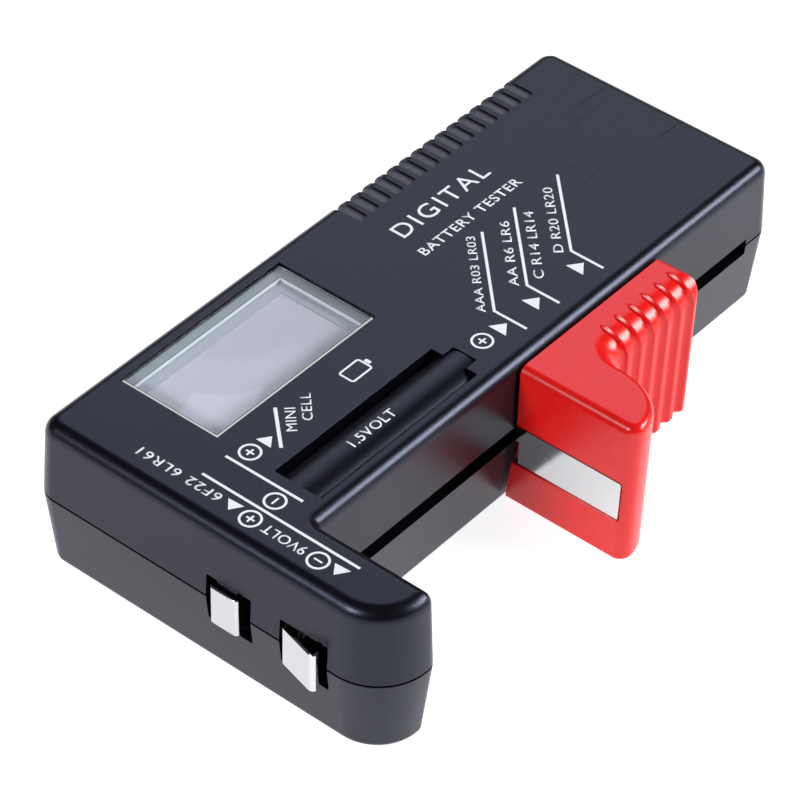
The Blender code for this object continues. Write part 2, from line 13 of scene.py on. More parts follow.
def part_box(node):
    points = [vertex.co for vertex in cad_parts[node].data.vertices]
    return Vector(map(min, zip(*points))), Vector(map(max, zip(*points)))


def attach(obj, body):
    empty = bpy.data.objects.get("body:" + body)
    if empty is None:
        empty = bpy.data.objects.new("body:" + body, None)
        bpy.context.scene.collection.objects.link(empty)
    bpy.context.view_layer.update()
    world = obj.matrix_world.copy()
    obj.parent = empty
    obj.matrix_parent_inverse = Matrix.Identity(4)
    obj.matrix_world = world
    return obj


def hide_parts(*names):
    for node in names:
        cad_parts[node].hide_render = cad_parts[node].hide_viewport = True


bl_info = {
    "name": "Battery Tester",
    "version": (1, 0, 0),
    "blender": (4, 5, 0),
    "location": "3D View > Sidebar > Tester",
    "description": "Builds a handheld battery tester around its packed frame",
    "category": "Object",
}

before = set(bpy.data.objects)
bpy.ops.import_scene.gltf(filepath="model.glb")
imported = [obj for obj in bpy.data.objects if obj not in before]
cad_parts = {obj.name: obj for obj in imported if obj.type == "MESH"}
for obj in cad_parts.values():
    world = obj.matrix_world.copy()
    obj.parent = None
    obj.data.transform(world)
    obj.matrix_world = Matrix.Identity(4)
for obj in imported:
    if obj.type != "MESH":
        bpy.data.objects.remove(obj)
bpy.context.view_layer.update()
MM = 0.001


def node_box(name):
    """A frame node's box in millimetres."""
    low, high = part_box(name)
    return Vector(low) / MM, Vector(high) / MM


UPPER_LOW, UPPER_HIGH = node_box("upper_shell")
LENS_LOW, LENS_HIGH = node_box("display_window")
GRIP_LOW, GRIP_HIGH = node_box("slider_grip")
STRIP_LOW, STRIP_HIGH = node_box("slider_contact")
PLATE_LOW, PLATE_HIGH = node_box("contact_9v_positive")
TAB_LOW, TAB_HIGH = node_box("contact_9v_negative")
CELL_LOW, CELL_HIGH = node_box("contact_cell")

X0, X2 = UPPER_LOW.x, UPPER_HIGH.x
Y0, Y3 = UPPER_LOW.y, UPPER_HIGH.y
TOP = UPPER_HIGH.z
X1 = X0 + 41.7                    # right side of the main body
Y1 = Y0 + 10.75                   # inner side of the foot
PARTING = 12.5


# ---------------------------------------------------------------- settings

class CaseSettings(bpy.types.PropertyGroup):
    colour: bpy.props.FloatVectorProperty(
        name="Colour", description="Colour of the moulded case", subtype="COLOR", size=3,
        min=0.0, max=1.0, default=(0.0022, 0.0023, 0.0036))
    roughness: bpy.props.FloatProperty(
        name="Roughness", description="How dull the moulded surface is", subtype="FACTOR",
        min=0.0, max=1.0, default=0.31)
    top_round: bpy.props.FloatProperty(
        name="Top edge radius", description="Radius of the top edge, in millimetres",
        min=0.5, max=4.0, default=2.2)
    right_round: bpy.props.FloatProperty(
        name="Right edge radius", description="Radius of the top edge beside the cell, in millimetres",
        min=0.3, max=3.0, default=2.0)
    wall: bpy.props.FloatProperty(
        name="Wall", description="Thickness of the case walls, in millimetres",
        min=1.0, max=4.0, default=2.0)
    grooves: bpy.props.IntProperty(
        name="Finger grooves", description="Number of grooves across the left edge",
        min=0, max=20, default=15)


class SliderSettings(bpy.types.PropertyGroup):
    colour: bpy.props.FloatVectorProperty(
        name="Colour", description="Colour of the moulded slider", subtype="COLOR", size=3,
        min=0.0, max=1.0, default=(0.78, 0.007, 0.006))
    roughness: bpy.props.FloatProperty(
        name="Roughness", description="How dull the slider is", subtype="FACTOR",
        min=0.0, max=1.0, default=0.27)
    arm_round: bpy.props.FloatProperty(
        name="Arm edge radius", description="Radius of the clamp arm's top edge, in millimetres",
        min=0.3, max=2.0, default=1.3)
    grip_round: bpy.props.FloatProperty(
        name="Grip edge radius", description="Radius of the finger grip's top edge, in millimetres",
        min=1.0, max=5.0, default=4.0)
    groove_depth: bpy.props.FloatProperty(
        name="Groove depth", description="Depth of the finger grooves, in millimetres",
        min=0.1, max=1.2, default=0.75)


class DisplaySettings(bpy.types.PropertyGroup):
    glass: bpy.props.FloatVectorProperty(
        name="Display colour", description="Colour of the blank display", subtype="COLOR", size=3,
        min=0.0, max=1.0, default=(0.54, 0.52, 0.595))
    # The rim colour is painted onto the border: partly the frame's own grey, partly painted shade of its inner
    # walls.
    rim: bpy.props.FloatVectorProperty(
        name="Rim colour", description="Colour of the frame inside the window", subtype="COLOR", size=3,
        min=0.0, max=1.0, default=(0.38, 0.40, 0.47))


class PrintSettings(bpy.types.PropertyGroup):
    ink: bpy.props.FloatVectorProperty(
        name="Ink", description="Colour of the printed marks", subtype="COLOR", size=3,
        min=0.0, max=1.0, default=(0.88, 0.90, 0.95))
    line: bpy.props.FloatProperty(
        name="Line width", description="Width of the printed lines, in millimetres",
        min=0.1, max=1.0, default=0.42)


class StageSettings(bpy.types.PropertyGroup):
    floor: bpy.props.FloatVectorProperty(
        name="Floor", description="Colour of the floor", subtype="COLOR", size=3,
        min=0.0, max=1.0, default=(0.55, 0.55, 0.555))
    glow: bpy.props.FloatProperty(
        name="Floor glow", description="How brightly the floor is lit from below", min=0.0, default=0.9)
    key: bpy.props.FloatProperty(
        name="Back light", description="Power of the soft light behind and to the right",
        subtype="POWER", min=0.0, default=9.2)
    front: bpy.props.FloatProperty(
        name="Front light", description="Power of the soft light in front", subtype="POWER",
        min=0.0, default=4.6)
    panel: bpy.props.FloatProperty(
        name="Side panel", description="Power of the dim panel behind and to the left",
        subtype="POWER", min=0.0, default=1.4)
    ambient: bpy.props.FloatProperty(
        name="Ambient", description="Strength of the even light from all round",
        min=0.0, default=0.035)


class TesterSettings(bpy.types.PropertyGroup):
    case: bpy.props.PointerProperty(type=CaseSettings)
    slider: bpy.props.PointerProperty(type=SliderSettings)
    display: bpy.props.PointerProperty(type=DisplaySettings)
    printing: bpy.props.PointerProperty(type=PrintSettings)
    stage: bpy.props.PointerProperty(type=StageSettings)


# --------------------------------------------------------------- modelling

def only(piece):
    """Makes one piece the only selected one, and the active one."""
    bpy.ops.object.select_all(action="DESELECT")
    piece.select_set(True)
    bpy.context.view_layer.objects.active = piece


def edit(piece):
    only(piece)
    bpy.ops.object.mode_set(mode="EDIT")
    bpy.ops.mesh.select_mode(type="FACE")
    bpy.ops.mesh.select_all(action="SELECT")


def done():
    bpy.ops.object.mode_set(mode="OBJECT")


def stack(name, rings):
    """A closed body drawn up from a filled circle, with one extrusion for each
    further ring of points."""
    count = len(rings[0])
    bpy.ops.object.select_all(action="DESELECT")
    bpy.ops.mesh.primitive_circle_add(vertices=count, radius=10, fill_type="NGON")
    piece = bpy.context.active_object
    piece.name = name
    edit(piece)
    for _ in rings[1:]:
        bpy.ops.mesh.extrude_region_move(TRANSFORM_OT_translate={"value": (0, 0, 1)})
    done()
    for vert in piece.data.vertices:
        turn = math.atan2(-vert.co.x, vert.co.y) / math.tau * count
        vert.co = Vector(rings[round(vert.co.z)][round(turn) % count])
    face_outwards(piece)
    return piece


def face_outwards(piece):
    edit(piece)
    bpy.ops.mesh.normals_make_consistent(inside=False)
    done()


def hoop(name, points, width, low, high):
    """A flat closed frame of even width inside an outline."""
    bpy.ops.object.select_all(action="DESELECT")
    bpy.ops.mesh.primitive_circle_add(vertices=len(points), radius=10, fill_type="NGON")
    piece = bpy.context.active_object
    piece.name = name
    for vert, (x, y) in zip(piece.data.vertices, points):
        vert.co = (x, y, low)
    edit(piece)
    bpy.ops.mesh.normals_make_consistent(inside=False)
    bpy.ops.mesh.inset(thickness=width)
    bpy.ops.mesh.delete(type="FACE")
    bpy.ops.mesh.select_all(action="SELECT")
    bpy.ops.mesh.extrude_region_move(TRANSFORM_OT_translate={"value": (0, 0, high - low)})
    bpy.ops.mesh.select_all(action="SELECT")
    bpy.ops.mesh.normals_make_consistent(inside=False)
    done()
    return piece


def block(name, low, high, bevel=0.0):
    """A box between two corners, with its edges eased."""
    low, high = Vector(low), Vector(high)
    bpy.ops.object.select_all(action="DESELECT")
    bpy.ops.mesh.primitive_cube_add(size=1, location=(low + high) / 2, scale=high - low)
    piece = bpy.context.active_object
    piece.name = name
    bpy.ops.object.transform_apply()
    if bevel:
        edit(piece)
        bpy.ops.mesh.bevel(offset=bevel, segments=3, affect="EDGES")
        done()
    return piece


def cut(piece, *tools, operation="DIFFERENCE"):
    """Cuts each tool out of the piece, or joins it on, and removes the tool."""
    for tool in tools:
        only(piece)
        modifier = piece.modifiers.new("Cut", "BOOLEAN")
        modifier.object = tool
        modifier.operation = operation
        modifier.solver = "EXACT"
        bpy.ops.object.modifier_apply(modifier=modifier.name)
        bpy.data.objects.remove(tool, do_unlink=True)


def join(name, pieces):
    bpy.ops.object.select_all(action="DESELECT")
    for piece in pieces:
        piece.select_set(True)
    bpy.context.view_layer.objects.active = pieces[0]
    bpy.ops.object.join()
    pieces[0].name = name
    return pieces[0]


def settle(piece, material, slot, body, angle=32, even=False):
    """Brings a piece to metres, shades it, and puts it on its body."""
    only(piece)
    piece.scale = (MM, MM, MM)
    bpy.ops.object.transform_apply()
    if angle:
        bpy.ops.object.shade_smooth_by_angle(angle=math.radians(angle))
    if even:
        modifier = piece.modifiers.new("Even shading", "WEIGHTED_NORMAL")
        modifier.keep_sharp = True
        bpy.ops.object.modifier_apply(modifier=modifier.name)
    piece.data.name = piece.name
    piece.data.materials.clear()
    piece.data.materials.append(material)
    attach(piece, body)
    return piece


def rounded(corners, inset, segments=10):
    """Closed outline of (x, y, radius) corners, moved in by inset."""
    points = []
    count = len(corners)
    for i, (x, y, radius) in enumerate(corners):
        here = Vector((x, y))
        before = (here - Vector(corners[i - 1][:2])).normalized()
        after = (Vector(corners[(i + 1) % count][:2]) - here).normalized()
        left, right = Vector((-before.y, before.x)), Vector((-after.y, after.x))
        convex = before.cross(after) > 0
        vertex = here + (left + right) * (inset / (1 + left.dot(right)))
        r = max(radius - inset, 0.12) if convex else radius + inset
        half = math.acos(max(-1.0, min(1.0, before.dot(after)))) / 2
        side = 1 if convex else -1
        start = vertex - before * (r * math.tan(half))
        centre = start + left * (r * side)
        arm = start - centre
        for k in range(segments + 1):
            turn = side * 2 * half * k / segments
            c, s = math.cos(turn), math.sin(turn)
            points.append((centre.x + arm.x * c - arm.y * s, centre.y + arm.x * s + arm.y * c))
    return points


def oblong(x0, y0, x1, y1, radius, segments=4):
    return rounded(((x0, y0, radius), (x1, y0, radius), (x1, y1, radius), (x0, y1, radius)), 0.0, segments)


def level(outline, z):
    return [(x, y, z) for x, y in outline]


def mouth(x0, y0, x1, y1, low, top, flare=0.04, radius=0.25):
    """Cutter for an opening in the top face, a little wider at its lip."""
    rings = [level(oblong(x0, y0, x1, y1, radius), low)]
    for k in range(4):
        a = math.pi / 2 * k / 3
        grow = flare * (1 - math.cos(a))
        rings.append(level(oblong(x0 - grow, y0 - grow, x1 + grow, y1 + grow, radius + grow),
                           top - flare + flare * math.sin(a)))
    grow = flare
    rings.append(level(oblong(x0 - grow, y0 - grow, x1 + grow, y1 + grow, radius + grow), top + 1))
    return stack("mouth", rings)


def rod(name, centre, radius, start, stop, segments=48, along="Y"):
    """Cylinder along Y or Z, made from a circle primitive."""
    bpy.ops.object.select_all(action="DESELECT")
    bpy.ops.mesh.primitive_circle_add(vertices=segments, radius=radius, fill_type="NGON")
    piece = bpy.context.active_object
    piece.name = name
    edit(piece)
    bpy.ops.mesh.extrude_region_move(TRANSFORM_OT_translate={"value": (0, 0, stop - start)})
    bpy.ops.mesh.select_all(action="SELECT")
    bpy.ops.mesh.normals_make_consistent(inside=False)
    done()
    if along == "Y":
        piece.rotation_euler = (-math.pi / 2, 0, 0)
        piece.location = (centre[0], start, centre[1])
    else:
        piece.location = (centre[0], centre[1], start)
    bpy.ops.object.transform_apply()
    return piece


def easing(path, radius, steps=5):
    """A plan path with its corners rounded."""
    points = [Vector(p) for p in path]
    line = [points[0]]
    for a, b, c in zip(points, points[1:], points[2:]):
        before, after = (b - a).normalized(), (c - b).normalized()
        reach = min(radius, (b - a).length * 0.45, (c - b).length * 0.45)
        start, end = b - before * reach, b + after * reach
        for k in range(steps + 1):
            t = k / steps
            line.append(start * (1 - t) ** 2 + b * 2 * t * (1 - t) + end * t * t)
    line.append(points[-1])
    return line


def leaf(name, path, thickness, low, high, ease=0.06):
    """Sheet-metal strip standing on a plan path, with eased long edges."""
    rings = []
    for z, half in ((low, thickness / 2 - ease), (low + ease, thickness / 2),
                    (high - ease, thickness / 2), (high, thickness / 2 - ease)):
        left, right = [], []
        for i, p in enumerate(path):
            before = (p - path[i - 1]).normalized() if i else (path[1] - p).normalized()
            after = (path[i + 1] - p).normalized() if i + 1 < len(path) else before
            n1, n2 = Vector((-before.y, before.x)), Vector((-after.y, after.x))
            miter = (n1 + n2) / (1 + n1.dot(n2)) * half
            left.append(p + miter)
            right.append(p - miter)
        rings.append([(p.x, p.y, z) for p in left + right[::-1]])
    return stack(name, rings)


# --------------------------------------------------------------- materials

def group(name, inputs, outputs):
    tree = bpy.data.node_groups.new(name, "ShaderNodeTree")
    for label, kind, value in inputs:
        socket = tree.interface.new_socket(name=label, in_out="INPUT", socket_type=kind)
        socket.default_value = value
    for label, kind in outputs:
        tree.interface.new_socket(name=label, in_out="OUTPUT", socket_type=kind)
    return tree, tree.nodes.new("NodeGroupInput"), tree.nodes.new("NodeGroupOutput")


def noise(tree, vector, scale, detail=2.0, roughness=0.5):
    node = tree.nodes.new("ShaderNodeTexNoise")
    node.inputs["Detail"].default_value = detail
    node.inputs["Roughness"].default_value = roughness
    tree.links.new(vector, node.inputs["Vector"])
    if hasattr(scale, "is_linked"):
        tree.links.new(scale, node.inputs["Scale"])
    else:
        node.inputs["Scale"].default_value = scale
    return node.outputs["Fac"]


def maths(tree, operation, a, b=0.5, clamp=False):
    node = tree.nodes.new("ShaderNodeMath")
    node.operation = operation
    node.use_clamp = clamp
    for socket, value in zip(node.inputs, (a, b)):
        if hasattr(value, "is_linked"):
            tree.links.new(value, socket)
        else:
            socket.default_value = value
    return node.outputs[0]


def moulded_grain():
    """Fine moulded texture: a fine pitted height and a slow, faint shade."""
    tree, given, out = group("Moulded grain", (("Grain size", "NodeSocketFloat", 2600.0),
                                               ("Drift size", "NodeSocketFloat", 60.0)),
                             (("Height", "NodeSocketFloat"), ("Drift", "NodeSocketFloat")))
    place = tree.nodes.new("ShaderNodeTexCoord").outputs["Object"]
    fine = noise(tree, place, given.outputs["Grain size"], 3.0, 0.6)
    tree.links.new(fine, out.inputs["Height"])
    tree.links.new(noise(tree, place, given.outputs["Drift size"], 2.0, 0.5), out.inputs["Drift"])
    return tree


def handling_marks():
    """Fine crossed hairlines that handling leaves, as a mask."""
    tree, given, out = group("Handling marks", (("Size", "NodeSocketFloat", 90.0),
                                                ("Amount", "NodeSocketFloat", 0.5)),
                             (("Mask", "NodeSocketFloat"),))
    place = tree.nodes.new("ShaderNodeTexCoord").outputs["Object"]
    lines = []
    for turn, stretch in ((0.5, (14.0, 0.5, 1.0)), (-0.9, (12.0, 0.6, 1.0))):
        mapping = tree.nodes.new("ShaderNodeMapping")
        mapping.inputs["Rotation"].default_value = (0.0, 0.0, turn)
        mapping.inputs["Scale"].default_value = stretch
        tree.links.new(place, mapping.inputs["Vector"])
        hair = noise(tree, mapping.outputs["Vector"], given.outputs["Size"], 1.0)
        peak = maths(tree, "SUBTRACT", hair, 0.68)
        lines.append(maths(tree, "MULTIPLY", peak, 12.0, clamp=True))
    both = maths(tree, "MAXIMUM", *lines)
    patch = maths(tree, "SUBTRACT", noise(tree, place, 35.0, 1.0), 0.42)
    patch = maths(tree, "MULTIPLY", patch, 4.0, clamp=True)
    mask = maths(tree, "MULTIPLY", maths(tree, "MULTIPLY", both, patch), given.outputs["Amount"])
    tree.links.new(mask, out.inputs["Mask"])
    return tree


def rolled_streaks():
    """Faint streaks of rolled and polished strip, along X."""
    tree, given, out = group("Rolled streaks", (("Size", "NodeSocketFloat", 160.0),
                                                ("Stretch", "NodeSocketFloat", 24.0)),
                             (("Height", "NodeSocketFloat"),))
    place = tree.nodes.new("ShaderNodeTexCoord").outputs["Object"]
    parts = tree.nodes.new("ShaderNodeSeparateXYZ")
    tree.links.new(place, parts.inputs[0])
    joined = tree.nodes.new("ShaderNodeCombineXYZ")
    tree.links.new(parts.outputs[0], joined.inputs[0])
    for k in (1, 2):
        tree.links.new(maths(tree, "MULTIPLY", parts.outputs[k], given.outputs["Stretch"]), joined.inputs[k])
    tree.links.new(noise(tree, joined.outputs[0], given.outputs["Size"], 3.0, 0.6), out.inputs["Height"])
    return tree


class Finishes:
    """All materials and shared node groups, made on first use."""

    def __init__(self):
        self.made = {}
        self.groups = {}

    def shared(self, maker):
        if maker.__name__ not in self.groups:
            self.groups[maker.__name__] = maker()
        return self.groups[maker.__name__]

    def get(self, name, *args, **kwargs):
        if name not in self.made:
            self.made[name] = self.build(name, *args, **kwargs)
        return self.made[name]

    def place(self, tree, maker, **values):
        node = tree.nodes.new("ShaderNodeGroup")
        node.node_tree = self.shared(maker)
        for label, value in values.items():
            node.inputs[label.replace("_", " ").capitalize()].default_value = value
        return node

    def build(self, name, colour, roughness, metallic=0.0, grain=2600.0, depth=0.12, drift=0.10,
              marks=0.0, streaks=False, specular=0.5, tint=(1.0, 1.0, 1.0, 1.0)):
        mat = bpy.data.materials.new(name)
        mat.use_nodes = True
        tree = mat.node_tree
        shader = tree.nodes["Principled BSDF"]
        shader.inputs["Metallic"].default_value = metallic
        shader.inputs["Specular IOR Level"].default_value = specular
        shader.inputs["Specular Tint"].default_value = tint
        mould = self.place(tree, moulded_grain, grain_size=grain)

        # Colour drifts slowly by a few per cent.
        shade = tree.nodes.new("ShaderNodeMapRange")
        shade.inputs["To Min"].default_value = 1.0 - drift
        shade.inputs["To Max"].default_value = 1.0 + drift
        tree.links.new(mould.outputs["Drift"], shade.inputs["Value"])
        scale = tree.nodes.new("ShaderNodeVectorMath")
        scale.operation = "SCALE"
        scale.inputs[0].default_value = colour
        tree.links.new(shade.outputs[0], scale.inputs["Scale"])
        tree.links.new(scale.outputs[0], shader.inputs["Base Color"])

        # Roughness follows the grain, and falls or rises at handling marks.
        rough = maths(tree, "MULTIPLY", maths(tree, "SUBTRACT", mould.outputs["Height"], 0.5), 0.10)
        rough = maths(tree, "ADD", rough, roughness)
        if marks:
            worn = self.place(tree, handling_marks, amount=marks)
            rough = maths(tree, "ADD", rough, worn.outputs["Mask"], clamp=True)
        tree.links.new(rough, shader.inputs["Roughness"])

        height = mould.outputs["Height"]
        if streaks:
            height = self.place(tree, rolled_streaks).outputs["Height"]
        bump = tree.nodes.new("ShaderNodeBump")
        bump.inputs["Strength"].default_value = depth
        bump.inputs["Distance"].default_value = 0.0001
        tree.links.new(height, bump.inputs["Height"])
        tree.links.new(bump.outputs[0], shader.inputs["Normal"])
        return mat


FINISH = Finishes()


def settings():
    return bpy.context.scene.battery_tester


def case_plastic():
    s = settings().case
    return FINISH.get("Satin black plastic", s.colour, s.roughness, grain=4200.0, depth=0.18,
                      drift=0.18, marks=0.12, tint=(0.60, 0.62, 0.90, 1.0))


def groove_texture_and_painted_light():
    # Painted light: the groove floors get a grey far lighter than the case's black, so that they read brighter,
    # along with a coarser texture.
    return FINISH.get("Textured black plastic", (0.085, 0.085, 0.10), 0.6, grain=5000.0, depth=0.3,
                      drift=0.2, tint=(0.60, 0.62, 0.90, 1.0))


def slider_plastic():
    s = settings().slider
    return FINISH.get("Gloss red plastic", s.colour, s.roughness, grain=500.0, depth=0.02, drift=0.03)


def printing_ink():
    return FINISH.get("Printed ink", settings().printing.ink, 0.55, grain=4000.0, depth=0.1, drift=0.04)


def polished_strip():
    return FINISH.get("Polished contact strip", (0.66, 0.66, 0.67), 0.12, metallic=1.0, depth=0.04,
                      drift=0.03, streaks=True, marks=0.08)


def clear_lens():
    """Clear moulded lens.  Light for the display goes straight through it."""
    name = "Clear lens"
    if name in FINISH.made:
        return FINISH.made[name]
    mat = FINISH.get(name, (0.97, 0.985, 1.0), 0.03, depth=0.0, drift=0.01, grain=400.0)
    tree = mat.node_tree
    shader = tree.nodes["Principled BSDF"]
    shader.inputs["Transmission Weight"].default_value = 1.0
    shader.inputs["IOR"].default_value = 1.49
    for link in list(shader.inputs["Roughness"].links):
        tree.links.remove(link)
    shader.inputs["Roughness"].default_value = 0.02
    through = tree.nodes.new("ShaderNodeBsdfTransparent")
    through.inputs[0].default_value = (0.94, 0.96, 0.97, 1.0)
    path = tree.nodes.new("ShaderNodeLightPath")
    lit = maths(tree, "MAXIMUM", path.outputs["Is Shadow Ray"], path.outputs["Is Diffuse Ray"])
    mix = tree.nodes.new("ShaderNodeMixShader")
    tree.links.new(lit, mix.inputs[0])
    tree.links.new(shader.outputs[0], mix.inputs[1])
    tree.links.new(through.outputs[0], mix.inputs[2])
    tree.links.new(mix.outputs[0], tree.nodes["Material Output"].inputs["Surface"])
    return mat


# -------------------------------------------------------------------- case

def case_outline(inset, right=None, segments=12):
    """The case's L-shaped outline.  The sides that face the cell under test
    have their own inset."""
    right = inset if right is None else right
    inner = max(2.2 - max(inset, right), 0.12)
    depth = Y1 - Y0
    outer = min(8.3 - inset, depth - inset - right - inner - 0.05)
    x0, x1, x2 = X0 + inset, X1 - right, X2 - inset
    y0, y1, y3 = Y0 + inset, Y1 - right, Y3 - inset
    corner = max(3.1 - inset, 0.12)
    return rounded(((x0, y0, max(3.5 - inset, 0.12)), (x2, y0, outer), (x2, y1, inner),
                    (x1, y1, 0.25 + right), (x1, y3, corner), (x0, y3, corner)), 0.0, segments)


def lean(z, draft, radius):
    """How far in the upper wall stands at height z, with its rounded top edge."""
    wall = draft * min(1.0, (z - PARTING) / (TOP - radius - PARTING))
    rise = max(0.0, z - TOP + radius)
    return wall + radius - math.sqrt(max(radius * radius - rise * rise, 0.0))


def end_openings():
    """Cutters for the contact openings in the near face and the foot's inner
    face; they cross both shells."""
    slots = (
        (PLATE_LOW.x - 1.2, Y0 - 2, PLATE_LOW.x + 0.7, Y0 + 3.5, 8.3, 16.3),
        (PLATE_HIGH.x - 0.7, Y0 - 2, PLATE_HIGH.x + 1.7, Y0 + 3.5, 8.3, 16.3),
        (TAB_LOW.x - 0.4, Y0 - 2, TAB_LOW.x + 7.7, Y0 + 3.5, 8.5, 16.3),
        (CELL_LOW.x - 0.3, Y1 - 3.5, CELL_HIGH.x + 0.8, Y1 + 2, 6.5, 14.1),
    )
    tools = []
    for x0, y0, x1, y1, z0, z1 in slots:
        outward = -1 if y0 < Y0 else 1
        rings = []
        for y in (y1, y0) if outward < 0 else (y0, y1):
            rings.append([(x, y, z) for x, z in oblong(x0, z0, x1, z1, 0.3, 3)])
        tools.append(stack("opening", rings))
    return tools


GROOVE_DEPTH = 0.36


def groove_floor(piece):
    """Gives the floors of the finger grooves their coarser texture."""
    s = settings().case
    piece.data.materials.append(groove_texture_and_painted_light())
    side, low = X0 + 0.6, TOP - s.top_round
    for face in piece.data.polygons:
        x, y, z = face.center / MM
        if z < low:
            below = x - side
        elif x > side + s.top_round:
            below = TOP - z
        else:
            below = s.top_round - math.hypot(x - side - s.top_round, z - low)
        away = (y - 5.9 + 1.32) % 2.64 - 1.32
        if x < -24.0 and z > 18.0 and GROOVE_DEPTH * 0.72 < below < 0.6 and abs(away) < 0.85 and 5 < y < 44:
            face.material_index = 1


def finger_groove(y):
    """Cutter for one groove, wrapped over the rounded left edge."""
    s = settings().case
    side = X0 + 0.6
    centre = Vector((side + s.top_round, TOP - s.top_round))
    path, widths = [], []
    for k in range(6):
        a = math.pi / 2 * k / 5
        path.append(Vector((-24.35 - 0.75 * (1 - math.cos(a)) * 1.0, TOP)))
        widths.append(max(math.sin(a), 0.12))
    for k in range(11):
        a = math.pi / 2 * k / 10
        path.append(centre + Vector((-math.sin(a), math.cos(a))) * s.top_round)
        widths.append(1.0)
    path.append(Vector((side - 0.1, 19.4)))
    widths.append(1.0)
    path.append(Vector((side - 0.12, 18.6)))
    widths.append(0.3)
    section = [(-1.03, 1.0), (-1.0, 0.0), (-0.97, -0.8), (-0.93, -0.95), (-0.85, -1.0), (0.0, -1.0),
               (0.85, -1.0), (0.93, -0.95), (0.97, -0.8), (1.0, 0.0), (1.03, 1.0)]
    rings = []
    for i, p in enumerate(path):
        a, b = path[max(i - 1, 0)], path[min(i + 1, len(path) - 1)]
        along = (b - a).normalized()
        up = Vector((-along.y, along.x)) * -1.0
        depth = GROOVE_DEPTH
        rings.append([(p.x + up.x * v * depth, y + u * widths[i] * 0.92, p.y + up.y * v * depth)
                      for u, v in section])
    return stack("finger_groove", rings)


def make_upper_shell():
    s = settings().case
    wall = s.wall
    ceiling = TOP - wall
    heights = [TOP - s.top_round * (1 - math.sin(math.pi / 2 * k / 12)) for k in range(13)]
    rings = [level(case_outline(lean(z, 0.6, s.top_round), lean(z, 0.3, s.right_round)), z)
             for z in heights[::-1] + [PARTING + 0.35]]
    rings.append(level(case_outline(0.04, 0.04), PARTING + 0.18))
    rings += [level(case_outline(0.2), PARTING + 0.15), level(case_outline(0.8), PARTING + 0.15),
              level(case_outline(0.8), 13.75), level(case_outline(wall), 13.75),
              level(case_outline(wall + 0.6, wall + 0.3), ceiling)]
    shell = stack("tester_case_top", rings)

    # Window recess with its ledge.
    x0, y0, x1, y1 = LENS_LOW.x - 0.15, LENS_LOW.y - 0.15, LENS_HIGH.x + 0.15, LENS_HIGH.y + 0.15
    cut(shell, mouth(x0, y0, x1, y1, LENS_LOW.z - 0.25, TOP),
        mouth(x0 + 1.1, y0 + 1.1, x1 - 1.1, y1 - 1.1, ceiling - 1, TOP))

    # Half-round relief of a cell, with its terminal, in a pocket.
    x0, y0, x1, y1 = 0.05, -41.0, 8.05, -9.1
    middle, radius = (x0 + x1) / 2, 5.5
    drop = TOP - 0.05 - radius
    cut(shell, block("floor", (x0 - 1.2, y0 - 1.2, ceiling - 1.6), (x1 + 0.3, y1 + 4, ceiling + 0.4)),
        operation="UNION")
    cut(shell, mouth(x0, y0, x1, y1, TOP - 2.3, TOP),
        mouth(middle - 2.0, y1 - 1, middle + 2.05, y1 + 2.2, TOP - 1.9, TOP))
    cell = rod("cell", (middle, drop), radius, y0 - 0.6, y1 - 0.35, 120)
    cut(cell, block("trim", (x0 + 1.25, y0 - 2, TOP - 2.8), (x1 - 0.45, y1 + 4, TOP + 2)),
        operation="INTERSECT")
    terminal = rod("terminal", (middle, drop), radius, y1 - 1.5, y1 + 2.0, 120)
    cut(terminal, block("trim", (2.15, y1 - 2, TOP - 2.8), (5.85, y1 + 4, TOP + 2)), operation="INTERSECT")
    cut(cell, terminal, operation="UNION")
    cut(shell, cell, operation="UNION")

    # Finger grooves, the slider's slot and the contact openings.
    for k in range(s.grooves):
        cut(shell, finger_groove(5.9 + 2.64 * k))
    slot = block("slot", (X1 - 4, -42.6, PARTING - 2), (X1 + 2, 48.7, 13.6))
    cut(shell, slot, *end_openings())
    settle(shell, case_plastic(), "case_black", "case", even=True)
    groove_floor(shell)
    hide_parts("upper_shell")
    return shell


def make_lower_shell():
    s = settings().case
    rings = [level(case_outline(1.95), 0.0), level(case_outline(1.7), 0.1), level(case_outline(1.45), 0.35),
             level(case_outline(1.3), 0.8), level(case_outline(0.03), PARTING - 0.35),
             level(case_outline(0.05), PARTING - 0.18), level(case_outline(0.2), PARTING - 0.15),
             level(case_outline(1.15), PARTING - 0.15), level(case_outline(1.15), 13.4),
             level(case_outline(s.wall - 0.1), 13.4), level(case_outline(s.wall + 1.1), s.wall)]
    shell = stack("tester_case_bottom", rings)
    for name in ("case_screw_1", "case_screw_2", "case_screw_3", "case_screw_4"):
        low, high = node_box(name)
        x, y = (low.x + high.x) / 2, (low.y + high.y) / 2
        cut(shell, rod("boss", (x, y), 3.4, 1.0, PARTING, 40, "Z"), operation="UNION")
        cut(shell, rod("hole", (x, y), 1.5, -1.0, 15.0, 32, "Z"))
        rings = [[(x + r * math.cos(a), y + r * math.sin(a), z) for a in
                  (math.tau * k / 40 for k in range(40))]
                 for r, z in ((3.2, -1.0), (2.95, 0.0), (2.68, 0.12), (2.6, 0.35), (2.6, 3.0))]
        cut(shell, stack("counterbore", rings))
    for y in (-36.0, 0.0, 36.0):
        cut(shell, block("post", (1.6, y - 2.0, 1.0), (3.9, y + 2.0, 14.6)), operation="UNION")
    cut(shell, block("slot", (X1 - 4, -42.6, 10.8), (X1 + 2, 48.7, 20)), *end_openings())
    # A shallow recess for a rating plate, left blank.
    plate = level(oblong(-21.0, -22.0, 3.0, 22.0, 2.0, 8), 0.0)
    rings = [level(oblong(-21.3, -22.3, 3.3, 22.3, 2.3, 8), -1.0),
             level(oblong(-21.3, -22.3, 3.3, 22.3, 2.3, 8), 0.0), [(x, y, 0.3) for x, y, _ in plate]]
    cut(shell, stack("plate_recess", rings))
    settle(shell, case_plastic(), "case_black", "case", even=True)
    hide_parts("lower_shell")
    return shell


# ----------------------------------------------------------------- display

